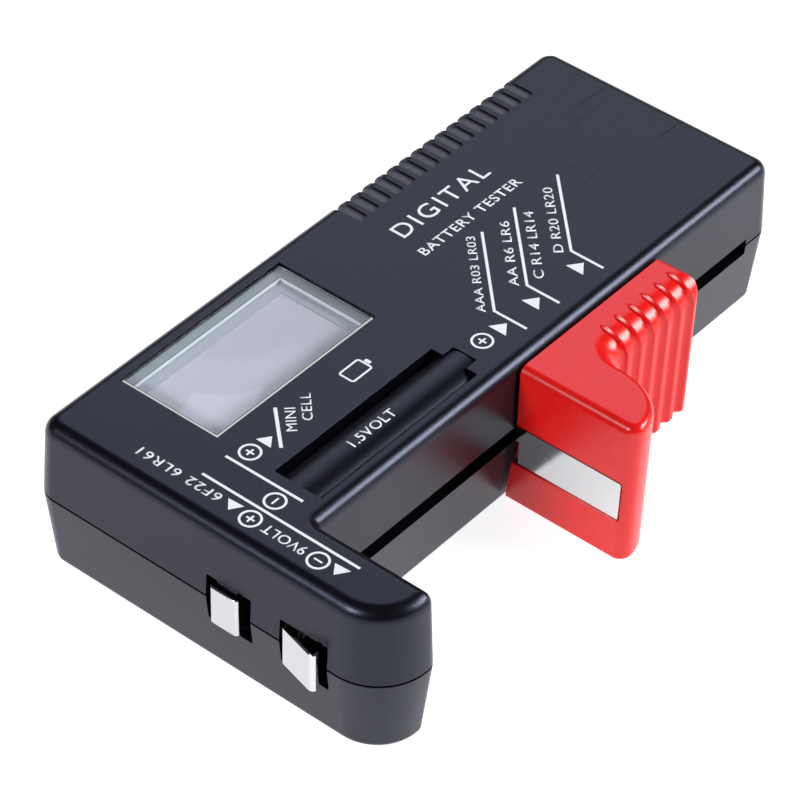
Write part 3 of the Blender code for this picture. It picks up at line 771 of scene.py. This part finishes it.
def make_display():
    s = settings().display
    x0, y0, x1, y1 = LENS_LOW.x, LENS_LOW.y, LENS_HIGH.x, LENS_HIGH.y

    # Lens with a polished rounded edge.
    rings = []
    for z, inset in ((LENS_LOW.z, 0.08), (LENS_LOW.z + 0.08, 0.0)):
        rings.append(level(oblong(x0 + inset, y0 + inset, x1 - inset, y1 - inset, 0.4), z))
    for k in range(6):
        a = math.pi / 2 * k / 5
        inset = 0.38 * (1 - math.cos(a))
        rings.append(level(oblong(x0 + inset, y0 + inset, x1 - inset, y1 - inset, max(0.4 - inset, 0.1)),
                           LENS_HIGH.z - 0.38 * (1 - math.sin(a))))
    lens = stack("display_lens", rings)
    settle(lens, clear_lens(), "window_clear", "case", angle=40)
    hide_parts("display_window")

    # On the left and far sides a grey gasket, a thin white strip and a grey border step down to the display. The
    # white strip is a painted highlight along the top of the frame's inner wall; the border's grey is partly the
    # frame's own colour and partly painted shade of its inner walls.
    floor = node_box("lcd_panel")[1].z
    for name, material, slot, inset, width, low, high in (
            ("display_gasket", FINISH.get("Grey gasket", (0.26, 0.30, 0.33), 0.45, depth=0.1, drift=0.2),
             "reflector", 0.75, 1.3, LENS_LOW.z - 0.24, LENS_LOW.z - 0.04),
            ("display_edge_highlight", FINISH.get("White edge", (0.85, 0.87, 0.90), 0.3, depth=0.05, drift=0.05),
             "white_plastic", 1.62, 0.14, floor + 0.05, LENS_LOW.z - 0.1),
            ("display_border_and_painted_shade", FINISH.get("Grey border", s.rim, 0.35, depth=0.05, drift=0.1),
             "reflector", 2.6, 1.6, floor + 0.02, floor + 0.12)):
        left, far, low_end, right_end = x0 + inset, y1 - inset, y0 + 0.3, x1 - 0.3
        half = width / 2
        outline = [(left - half, low_end), (left + half, low_end), (left + half, far - half),
                   (right_end, far - half), (right_end, far + half), (left - half, far + half)]
        piece = stack(name, [level(outline, low), level(outline, high)])
        settle(piece, material, slot, "case", angle=0)

    # A pale strip along the lens's near and right sides is a painted highlight on its rounded edge.
    outline = [(x0 + 0.3, y0), (x1, y0), (x1, y1 - 0.3), (x1 - 0.26, y1 - 0.3), (x1 - 0.26, y0 + 0.26),
               (x0 + 0.3, y0 + 0.26)]
    rim = stack("display_lens_highlight", [level(outline, LENS_HIGH.z - 0.2), level(outline, LENS_HIGH.z + 0.01)])
    settle(rim, FINISH.get("Ground lens edge", (0.66, 0.66, 0.65), 0.4, depth=0.2, drift=0.25),
           "window_clear", "case", angle=0)
    # Just inside it, a dark strip is a painted shadow of the lens's edge.
    outline = [(x0 + 0.3, y0 + 0.26), (x1 - 0.26, y0 + 0.26), (x1 - 0.26, y1 - 0.3), (x1 - 0.4, y1 - 0.3),
               (x1 - 0.4, y0 + 0.4), (x0 + 0.3, y0 + 0.4)]
    shade = stack("display_lens_shadow", [level(outline, LENS_HIGH.z - 0.2), level(outline, LENS_HIGH.z + 0.005)])
    settle(shade, FINISH.get("Shaded lens step", (0.10, 0.10, 0.11), 0.5, depth=0.2, drift=0.25),
           "window_clear", "case", angle=0)

    glass = FINISH.get("Display glass", s.glass, 0.12, grain=300.0, depth=0.01, drift=0.035)
    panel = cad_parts["lcd_panel"]
    panel.data.materials.clear()
    panel.data.materials.append(glass)


# ---------------------------------------------------------------- contacts

def make_nine_volt_contacts():
    steel = polished_strip()
    face = PLATE_LOW.y + 0.2
    x0, x1 = PLATE_LOW.x + 0.2, PLATE_HIGH.x - 0.2
    path = easing(((x0, PLATE_HIGH.y), (x0, face), (x1, face), (x1, PLATE_HIGH.y)), 0.45)
    plate = leaf("nine_volt_plate", path, 0.4, PLATE_LOW.z, PLATE_HIGH.z)
    settle(plate, steel, "contact_steel", "case")
    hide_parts("contact_9v_positive")

    x0, x1 = TAB_LOW.x + 0.2, TAB_HIGH.x - 0.2
    path = easing(((x0, Y0 + 2.6), (x0, Y0 + 0.1), (x1 - 0.5, Y0 - 1.4), (x1, Y0 - 1.2), (x1, Y0 - 0.3)), 0.4)
    tab = leaf("nine_volt_tab", path, 0.4, TAB_LOW.z, TAB_HIGH.z)
    settle(tab, steel, "contact_steel", "nine_volt_tab")
    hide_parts("contact_9v_negative")


def make_cell_contact():
    x0 = CELL_LOW.x + 0.2
    path = easing(((x0, Y1 - 2.4), (x0, Y1 - 0.1), (25.8, Y1 + 1.1), (26.7, Y1 + 0.9), (26.9, Y1 - 0.4)), 0.5)
    # It is a little narrower than the recess in the slider, so that it fits in.
    contact = leaf("cell_contact", path, 0.4, CELL_LOW.z + 0.75, CELL_HIGH.z)
    settle(contact, polished_strip(), "contact_steel", "cell_leaf")
    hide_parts("contact_cell")


# ------------------------------------------------------------------ slider

def slider_side(z):
    """The slider's inner face follows the leaning side of the case."""
    if z < PARTING:
        return X1 + 0.35 - 1.1 * (PARTING - z) / PARTING
    return X1 + 0.35 - 0.3 * (z - PARTING) / (TOP - PARTING)


def bezier(a, b, c, d, count):
    a, b, c, d = map(Vector, (a, b, c, d))
    return [a * (1 - t) ** 3 + b * 3 * t * (1 - t) ** 2 + c * 3 * t * t * (1 - t) + d * t ** 3
            for t in (k / count for k in range(count))]


GRIP_SIDE = 18.2                  # outer side of the finger grip
SLIDER_LEAN = 0.052               # its play in the slot lets the slider tip towards the cell


def groove_depth(y, z):
    """Depth of the finger grooves at a place on the grip.  They are broad and
    deep down the side, and run out narrow and shallow over the top edge."""
    s = settings().slider
    over = max(0.0, min(1.0, (z - GRIP_HIGH.z + s.grip_round) / s.grip_round))
    over = over * over * (3 - 2 * over)
    half = 1.0 - 0.52 * over
    deepest = 0.0
    for k in range(6):
        away = abs(y - 10.3 - 2.96 * k) / half
        if away < 1.0:
            deepest = max(deepest, (0.5 + 0.5 * math.cos(math.pi * away)) ** 0.4)
    return deepest * s.groove_depth * (1 - 0.3 * over)


def slider_outline():
    """Plan of the slider as (point, outward direction, edge radius, grooved),
    from its inner near corner round to its inner far corner."""
    s = settings().slider
    near, far, out, grip = GRIP_LOW.y, GRIP_HIGH.y, GRIP_HIGH.x, GRIP_SIDE
    corner = 1.8
    arm = [Vector((X1, near)), Vector((X1 + 6, near)), Vector((out - corner - 4, near))]
    arm += bezier((out - corner, near), (out - corner * 0.45, near), (out, near + corner * 0.55),
                  (out, near + corner), 12)
    arm += bezier((out, near + corner), (out, 1.2), (28.2, 4.9), (22.4, 5.6), 18)
    sweep = bezier((22.4, 5.6), (19.6, 5.8), (grip, 7.0), (grip, 9.2), 16)
    points = arm + sweep
    plan = []
    for i, p in enumerate(points):
        a = points[max(i - 1, 0)]
        b = points[i + 1] if i + 1 < len(points) else Vector((grip, 9.4))
        along = (b - a).normalized()
        outward = Vector((along.y, -along.x))
        blend = max(0.0, (i - len(arm)) / len(sweep))
        radius = s.arm_round + (s.grip_round - s.arm_round) * blend * blend * (3 - 2 * blend)
        plan.append((p, Vector((0, -1)) if i == 0 else outward, radius, False))
    stop = far - 1.3
    count = 132
    for k in range(count + 1):
        y = 9.2 + (stop - 9.2) * k / count
        plan.append((Vector((grip, y)), Vector((1, 0)), s.grip_round, True))
    for p in bezier((grip, stop), (grip, stop + 0.8), (grip - 0.5, far), (grip - 1.3, far), 8)[1:]:
        plan.append((p, None, s.grip_round, False))
    plan.append((Vector((grip - 1.3, far)), None, s.grip_round, False))
    plan.append((Vector((X1 + 1.2, far)), Vector((0, 1)), s.arm_round, False))
    plan.append((Vector((X1, far)), Vector((0, 1)), s.arm_round, False))
    return plan


def edge_inset(rise_from, z, radius, depth=0.0):
    """How far a surface stands in from its plan at height z, where its top
    edge has a radius and a groove of some depth follows it over the top."""
    rise = max(0.0, z - rise_from + radius)
    inner = radius - depth
    if rise <= inner:
        return radius - math.sqrt(max(inner * inner - rise * rise, 0.0))
    left = max(0.0, rise_from - z) / max(depth, 0.001)
    return radius + 1.1 * depth * math.sqrt(max(0.0, 1 - left * left))


def make_slider_grip():
    s = settings().slider
    plan = slider_outline()
    low, high = GRIP_LOW.z, GRIP_HIGH.z
    heights = [low, low + 0.1, low + 0.3, low + 0.6, 6.0, PARTING, 16.0]
    heights += [high - s.grip_round * (1 - math.sin(math.pi / 2 * k / 22)) for k in range(23)]
    rings = []
    for z in heights:
        foot = max(0.0, low + 0.6 - z)
        foot = 0.6 - math.sqrt(max(0.36 - foot * foot, 0.0))
        ring = []
        for p, outward, radius, grooved in plan:
            depth = groove_depth(p.y, z) if grooved else 0.0
            if outward is None:
                side = edge_inset(high, z, radius) + foot
                end = edge_inset(high, z, s.arm_round) + foot
                x, y = min(p.x, GRIP_SIDE - side), min(p.y, GRIP_HIGH.y - end)
            else:
                inset = edge_inset(high, z, radius, depth) + foot
                x, y = p.x - outward.x * inset, p.y - outward.y * inset
            if p.x <= X1 + 0.01:
                x = slider_side(z)
            ring.append((x, y - SLIDER_LEAN * (high - z), z))
        rings.append(ring)
    grip = stack("slider_clamp", rings)
    edit(grip)
    bpy.ops.mesh.remove_doubles(threshold=0.0004)
    done()

    # Recess for the polished strip, open towards the case, and the tongue.
    near = GRIP_LOW.y
    z0, z1 = STRIP_LOW.z + 0.5, STRIP_HIGH.z + 0.35
    rings = []
    for y, grow in ((near + 0.95, 0.0), (near + 0.12, 0.0), (near, 0.12), (near - 0.5, 0.5)):
        outline = oblong(X1 - 1 - grow, z0 - grow, STRIP_HIGH.x + 0.3 + grow, z1 + grow, 0.5 + grow, 6)
        rings.append([(x, y - SLIDER_LEAN * (GRIP_HIGH.z - z), z) for x, z in outline])
    cut(grip, stack("recess", rings))
    tongue = block("tongue", (7.6, -2.2, 11.1), (X1 + 2, 20.0, 13.3))
    cut(tongue, block("flange", (6.7, -2.2, 9.0), (8.25, 20.0, 15.4)), operation="UNION")
    cut(grip, tongue, operation="UNION")
    settle(grip, slider_plastic(), "slider_red", "slider", angle=38, even=True)
    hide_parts("slider_grip")


def make_slider_contact():
    """Polished strip across the arm; its tail runs through the slot."""
    y0, y1 = STRIP_LOW.y, STRIP_HIGH.y
    z0, z1, x1 = STRIP_LOW.z, STRIP_HIGH.z, STRIP_HIGH.x
    outline = [(11.7, z0), (x1 - 1.0, z0)]
    outline += [(x1 - 1.0 + math.sin(a), z0 + 1 - math.cos(a)) for a in
                (math.pi / 2 * k / 8 for k in range(1, 9))]
    outline += [(x1, z1 - 0.2), (x1 - 0.2, z1), (11.7, z1), (11.7, 13.2), (6.0, 13.2), (6.0, 11.2),
                (11.7, 11.2)]
    rings = [[(x, y, z) for x, z in outline] for y in (y0, y0 + 0.05, y1)]
    middle = Vector((18.0, 10.3))
    rings[0] = [(x + (0.04 if x < middle.x else -0.04), y, z + (0.04 if z < middle.y else -0.04))
                for x, y, z in rings[0]]
    rings = [[(x, y - SLIDER_LEAN * (GRIP_HIGH.z - z), z) for x, y, z in ring] for ring in rings]
    strip = stack("slider_strip", rings)
    settle(strip, polished_strip(), "contact_steel", "slider", angle=20)
    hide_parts("slider_contact")


# ---------------------------------------------------------------- printing

INK = 0.035


def band(name, points, width):
    """Printed line through plan points."""
    points = [Vector(p) for p in points]
    left, right = [], []
    for i, p in enumerate(points):
        before = (p - points[i - 1]).normalized() if i else (points[1] - p).normalized()
        after = (points[i + 1] - p).normalized() if i + 1 < len(points) else before
        n1, n2 = Vector((-before.y, before.x)), Vector((-after.y, after.x))
        miter = (n1 + n2) / (1 + n1.dot(n2)) * (width / 2)
        left.append(p + miter)
        right.append(p - miter)
    outline = [(p.x, p.y) for p in left + right[::-1]]
    return stack(name, [level(outline, TOP + 0.004), level(outline, TOP + INK)])


def shape(name, outline):
    return stack(name, [level(outline, TOP + 0.004), level(outline, TOP + INK)])


def ring_mark(x, y, plus=True, turn=0.0):
    """Circle with a plus or a minus in it."""
    circle = [(x + 1.62 * math.cos(a), y + 1.62 * math.sin(a)) for a in (math.tau * k / 40 for k in range(40))]
    marks = [hoop("ring", circle, 0.34, TOP + 0.004, TOP + INK)]
    long, half = (0.68, 0.14)
    if plus:
        outline = [(half, half), (half, long), (-half, long), (-half, half), (-long, half), (-long, -half),
                   (-half, -half), (-half, -long), (half, -long), (half, -half), (long, -half), (long, half)]
    else:
        outline = [(-half, -long), (half, -long), (half, long), (-half, long)]
    c, s = math.cos(turn), math.sin(turn)
    marks.append(shape("sign", [(x + u * c - v * s, y + u * s + v * c) for u, v in outline]))
    return marks


def lettering(words, start, end, cap, spacing=1.0, weight=0.0):
    """Printed words along a line on the top face, in the plain built-in face."""
    bpy.ops.object.select_all(action="DESELECT")
    bpy.ops.object.text_add()
    piece = bpy.context.active_object
    piece.data.body = words
    piece.data.space_character = spacing
    piece.data.offset = weight
    piece.data.resolution_u = 5
    bpy.ops.object.convert(target="MESH")
    piece = bpy.context.active_object
    xs = [v.co.x for v in piece.data.vertices]
    ys = [v.co.y for v in piece.data.vertices]
    start, end = Vector(start), Vector(end)
    along = end - start
    piece.data.transform(Matrix.Translation((-min(xs), -min(ys), 0)))
    piece.data.transform(Matrix.Diagonal((along.length / (max(xs) - min(xs)), cap / (max(ys) - min(ys)),
                                          1, 1)))
    piece.data.transform(Matrix.Translation((*start, TOP + 0.004))
                         @ Matrix.Rotation(math.atan2(along.y, along.x), 4, "Z"))
    edit(piece)
    bpy.ops.mesh.remove_doubles(threshold=0.002)
    bpy.ops.mesh.select_all(action="SELECT")
    bpy.ops.mesh.extrude_region_move(TRANSFORM_OT_translate={"value": (0, 0, INK - 0.004)})
    bpy.ops.mesh.select_all(action="SELECT")
    bpy.ops.mesh.normals_make_consistent(inside=False)
    done()
    return piece


def make_printing():
    width = settings().printing.line
    marks = [
        lettering("DIGITAL", (-17.45, 6.3), (-17.45, 25.4), 2.95, 1.2),
        lettering("BATTERY TESTER", (-12.85, 5.3), (-12.85, 26.7), 1.7, 1.12, 0.012),
        lettering("MINI", (-2.72, -33.25), (-5.95, -30.0), 1.45, 1.05),
        lettering("CELL", (-2.55, -30.3), (-6.3, -26.5), 1.45, 1.1, 0.006),
        lettering("9VOLT", (13.0, -49.0), (5.95, -49.0), 1.65, 1.05, 0.008),
        lettering("6F22 6LR61", (-1.75, -48.75), (-15.9, -48.75), 1.6, 1.15, 0.008),
    ]
    # Leader lines to the slider's places, with their cell sizes.
    for y in (2.43, 9.55, 19.3):
        marks.append(band("leader", ((-10.29, y + 11.95), (1.58, y), (7.2, y)), width))
        marks.append(shape("arrow", [(2.95, y - 2.95), (6.0, y - 2.95), (4.48, y - 0.88)]))
    for words, start, end, cap in (
            ("AAA R03 LR03", (0.88, 1.5), (-10.45, 13.0), 1.3), ("AA R6 LR6", (0.84, 8.78), (-9.0, 18.7), 1.4),
            ("C R14 LR14", (2.44, 12.31), (-7.8, 22.6), 1.45), ("D R20 LR20", (0.98, 18.41), (-9.1, 28.5), 1.42)):
        marks.append(lettering(words, start, end, cap, 1.05, 0.006))
    marks.append(band("mini_line", ((-7.94, -31.76), (-2.18, -37.11)), 0.5))
    marks.append(shape("arrow", [(-5.8, -38.0), (-3.2, -38.0), (-4.52, -36.2)]))
    marks.append(band("rule", ((-6.6, -43.02), (6.65, -42.95)), width))
    marks.append(band("rule", ((-6.65, -47.5), (20.2, -47.56)), width))
    marks += ring_mark(4.25, -3.43) + ring_mark(-4.68, -40.39)
    marks += ring_mark(3.9, -45.23, plus=False)
    marks += ring_mark(3.69, -49.78) + ring_mark(15.25, -49.9, plus=False, turn=math.pi / 2)
    marks.append(shape("arrow", [(1.6, -48.6), (-1.0, -48.75), (0.4, -50.4)]))
    marks.append(shape("arrow", [(19.7, -48.7), (17.15, -48.85), (18.4, -50.6)]))
    # A plain outline of a cell.
    marks.append(hoop("cell_sign", oblong(-6.1, -21.3, -3.3, -17.1, 0.5), 0.3, TOP + 0.004, TOP + INK))
    marks.append(shape("cell_sign_tip", oblong(-5.2, -17.0, -4.2, -16.4, 0.15)))
    printed = join("top_print", marks)
    settle(printed, printing_ink(), "white_plastic", "case", angle=0)

    # The relief's own label follows its half-round.
    words = lettering("1.5VOLT", (4.96, -30.65), (4.96, -21.9), 1.6, 1.08, 0.008)
    middle, radius = 4.05, 5.5
    drop = TOP - 0.05 - radius
    edit(words)
    bpy.ops.mesh.bisect(plane_co=(4.1, 0, 0), plane_no=(1, 0, 0))
    done()
    for vert in words.data.vertices:
        lift = vert.co.z - TOP
        vert.co.z = drop + math.sqrt(radius ** 2 - (vert.co.x - middle) ** 2) + lift
    words.name = "relief_print"
    settle(words, printing_ink(), "white_plastic", "case", angle=0)


# ------------------------------------------------------- screws and inside

def make_screws():
    """One cross-recessed screw, copied to each place."""
    low, high = node_box("case_screw_1")
    head, tall = (high.x - low.x) / 2, 1.5
    profile = ((0.35, low.z + 0.02), (head * 0.62, low.z + 0.06), (head * 0.86, low.z + 0.3),
               (head * 0.98, low.z + 0.8), (head, low.z + 1.1), (head, low.z + tall), (1.0, low.z + tall),
               (1.0, high.z - 0.8), (0.35, high.z))
    rings = [[(r * math.cos(a), r * math.sin(a), z) for a in (math.tau * k / 32 for k in range(32))]
             for r, z in profile]
    model = stack("case_screw", rings)
    for turn in (0, 1):
        long, wide = head * 0.62, head * 0.14
        x, y = (long, wide) if turn == 0 else (wide, long)
        rings = [level([(-x * f, -y * f), (x * f, -y * f), (x * f, y * f), (-x * f, y * f)], z)
                 for z, f in ((low.z - 1, 1.1), (low.z + 0.2, 1.0), (low.z + 0.9, 0.55))]
        cut(model, stack("cross", rings))
    steel = FINISH.get("Zinc-plated steel", (0.60, 0.60, 0.57), 0.33, metallic=1.0, grain=900.0, depth=0.1,
                       drift=0.08, marks=0.2)
    for k in range(4):
        low, high = node_box(f"case_screw_{k + 1}")
        screw = model.copy()
        screw.data = model.data.copy()
        bpy.context.scene.collection.objects.link(screw)
        screw.name = f"screw_{k + 1}"
        screw.data.transform(Matrix.Translation(((low.x + high.x) / 2, (low.y + high.y) / 2, 0))
                             @ Matrix.Rotation(0.4 + 1.1 * k, 4, "Z"))
        settle(screw, steel, "screw_steel", "case")
        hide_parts(f"case_screw_{k + 1}")
    bpy.data.objects.remove(model, do_unlink=True)
    for name in ("board_screw_1", "board_screw_2"):
        dress(name, steel)


def dress(node, material):
    """Gives a carried-over frame node its finish."""
    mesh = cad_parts[node].data
    mesh.materials.clear()
    mesh.materials.append(material)


def dress_inner_parts():
    get = FINISH.get
    brass = get("Plain brass", (0.72, 0.50, 0.20), 0.30, metallic=1.0, depth=0.1, drift=0.08, streaks=True,
                marks=0.2)
    finishes = {
        "lcd_holder": get("White moulding", (0.72, 0.72, 0.70), 0.45, depth=0.1),
        "lcd_reflector": get("Reflector sheet", (0.75, 0.76, 0.74), 0.4, depth=0.05),
        "lcd_connector_left": get("Striped rubber", (0.35, 0.12, 0.20), 0.8, grain=900.0, depth=0.3),
        "circuit_board": get("Solder mask", (0.03, 0.20, 0.08), 0.35, grain=700.0, depth=0.15, drift=0.15),
        "chip_blob": get("Potting epoxy", (0.02, 0.02, 0.02), 0.30, depth=0.1),
        "load_resistor_cell": get("Resistor coating", (0.55, 0.42, 0.25), 0.5, depth=0.15),
        "boost_inductor": get("Ferrite sleeve", (0.08, 0.08, 0.09), 0.6, depth=0.2),
        "capacitor": get("Shrunk sleeve", (0.03, 0.05, 0.18), 0.3, depth=0.05),
        "trimmer": get("Trimmer body", (0.12, 0.20, 0.50), 0.4, depth=0.1),
        "contact_rail": brass,
        "wire_9v_positive": get("Red insulation", (0.60, 0.03, 0.03), 0.45, depth=0.1),
        "wire_9v_negative": get("Black insulation", (0.02, 0.02, 0.02), 0.45, depth=0.1),
    }
    alike = {"lcd_connector_right": "lcd_connector_left", "transistor": "chip_blob",
             "load_resistor_9v": "load_resistor_cell", "slider_wiper": "contact_rail",
             "wire_rail": "wire_9v_positive", "wire_cell_negative": "wire_9v_negative"}
    for node, material in finishes.items():
        dress(node, material)
    for node, model in alike.items():
        dress(node, finishes[model])


# ------------------------------------------------------------------- stage

def aim(thing, place, target=(0, 0, 0.012)):
    thing.location = place
    thing.rotation_euler = (Vector(target) - Vector(place)).to_track_quat("-Z", "Y").to_euler()


def soft_light(name, azimuth, height, distance, size, power, colour=(1, 1, 1)):
    """Rectangular soft light; azimuth is from +X, height is above the floor."""
    data = bpy.data.lights.new(name, "AREA")
    data.shape = "RECTANGLE"
    data.size, data.size_y = size
    data.energy = power
    data.color = colour
    lamp = bpy.data.objects.new(name, data)
    bpy.context.scene.collection.objects.link(lamp)
    a, h = math.radians(azimuth), math.radians(height)
    aim(lamp, (distance * math.cos(a) * math.cos(h), distance * math.sin(a) * math.cos(h),
               distance * math.sin(h)))


def make_stage():
    s = settings().stage
    bpy.ops.object.select_all(action="DESELECT")
    bpy.ops.mesh.primitive_plane_add(size=1)
    floor = bpy.context.active_object
    floor.name = "floor"
    edit(floor)
    bpy.ops.transform.resize(value=(6, 6, 1))
    bpy.ops.transform.translate(value=(0, 0, -0.0002))
    done()
    paper = FINISH.get("Lit pale floor", s.floor, 0.9, grain=800.0, depth=0.02, drift=0.01, specular=0.0)
    shader = paper.node_tree.nodes["Principled BSDF"]
    shader.inputs["Emission Color"].default_value = (0.97, 0.98, 1.0, 1.0)
    shader.inputs["Emission Strength"].default_value = s.glow
    floor.data.materials.append(paper)

    world = bpy.data.worlds.new("Studio")
    bpy.context.scene.world = world
    world.use_nodes = True
    tree = world.node_tree
    even = tree.nodes["Background"]
    even.inputs["Color"].default_value = (0.95, 0.97, 1.0, 1.0)
    even.inputs["Strength"].default_value = s.ambient
    backdrop = tree.nodes.new("ShaderNodeBackground")
    backdrop.inputs["Color"].default_value = (0.97, 0.98, 1.0, 1.0)
    seen = tree.nodes.new("ShaderNodeLightPath")
    mix = tree.nodes.new("ShaderNodeMixShader")
    tree.links.new(seen.outputs["Is Camera Ray"], mix.inputs[0])
    tree.links.new(even.outputs[0], mix.inputs[1])
    tree.links.new(backdrop.outputs[0], mix.inputs[2])
    tree.links.new(mix.outputs[0], tree.nodes["World Output"].inputs["Surface"])

    soft_light("back_light", 41, 31, 0.9, (0.50, 0.30), s.key, (0.96, 1.0, 0.98))
    soft_light("front_light", -104, 36, 0.9, (0.28, 0.20), s.front)
    soft_light("side_panel", 129, 41, 0.9, (0.56, 0.50), s.panel, (0.86, 0.88, 1.0))

    data = bpy.data.cameras.new("camera")
    data.sensor_width = 36.0
    data.lens = 182.04
    data.clip_start, data.clip_end = 0.01, 20.0
    camera = bpy.data.objects.new("camera", data)
    bpy.context.scene.collection.objects.link(camera)
    camera.matrix_world = (Matrix.Translation((0.25488, -0.32839, 0.38188))
                           @ Matrix.Rotation(math.radians(39.163), 4, "Z")
                           @ Matrix.Rotation(math.radians(90 - 41.897), 4, "X")
                           @ Matrix.Rotation(math.radians(1.2), 4, "Z"))
    bpy.context.scene.camera = camera
    bpy.context.scene.view_settings.view_transform = "Standard"


# --------------------------------------------------------------- operators

def operator(name, label, text, *makers):
    """One operator class that runs some makers."""
    def execute(self, context):
        for maker in makers:
            maker()
        return {"FINISHED"}
    return type("TESTER_OT_" + name, (bpy.types.Operator,), {
        "bl_idname": "battery_tester." + name, "bl_label": label, "__doc__": text,
        "bl_options": {"REGISTER", "UNDO"}, "execute": execute})


STEPS = (
    operator("case_top", "Case top", "Make the top half of the case", make_upper_shell),
    operator("case_bottom", "Case bottom", "Make the bottom half of the case", make_lower_shell),
    operator("display", "Display", "Make the lens and what lies under it", make_display),
    operator("nine_volt_contacts", "9 V contacts", "Make the plate and the sprung tab",
             make_nine_volt_contacts),
    operator("cell_contact", "Cell contact", "Make the sprung leaf on the foot", make_cell_contact),
    operator("slider", "Slider", "Make the clamp and its polished strip", make_slider_grip,
             make_slider_contact),
    operator("screws", "Screws", "Make the case screws", make_screws),
    operator("printing", "Printing", "Make the printed marks", make_printing),
    operator("inside", "Inside", "Finish the parts inside", dress_inner_parts),
    operator("stage", "Stage", "Set the floor, the lights and the camera", make_stage),
)


class TESTER_PT_panel(bpy.types.Panel):
    """Lists the steps and the settings"""
    bl_idname = "TESTER_PT_panel"
    bl_label = "Battery Tester"
    bl_space_type = "VIEW_3D"
    bl_region_type = "UI"
    bl_category = "Tester"

    def draw(self, context):
        tester = context.scene.battery_tester
        for name in ("case", "slider", "display", "printing", "stage"):
            box = self.layout.box()
            part = getattr(tester, name)
            for key in part.bl_rna.properties.keys():
                if key not in ("rna_type", "name"):
                    box.prop(part, key)
        for step in STEPS:
            self.layout.operator(step.bl_idname)


CLASSES = (CaseSettings, SliderSettings, DisplaySettings, PrintSettings, StageSettings, TesterSettings,
           *STEPS, TESTER_PT_panel)


def register():
    for item in CLASSES:
        bpy.utils.register_class(item)
    bpy.types.Scene.battery_tester = bpy.props.PointerProperty(type=TesterSettings)


def unregister():
    del bpy.types.Scene.battery_tester
    for item in reversed(CLASSES):
        bpy.utils.unregister_class(item)


def main():
    register()
    for step in STEPS:
        kind, name = step.bl_idname.split(".")
        getattr(getattr(bpy.ops, kind), name)()
    bpy.ops.object.select_all(action="DESELECT")
    bpy.context.view_layer.update()


if __name__ == "__main__":
    main()
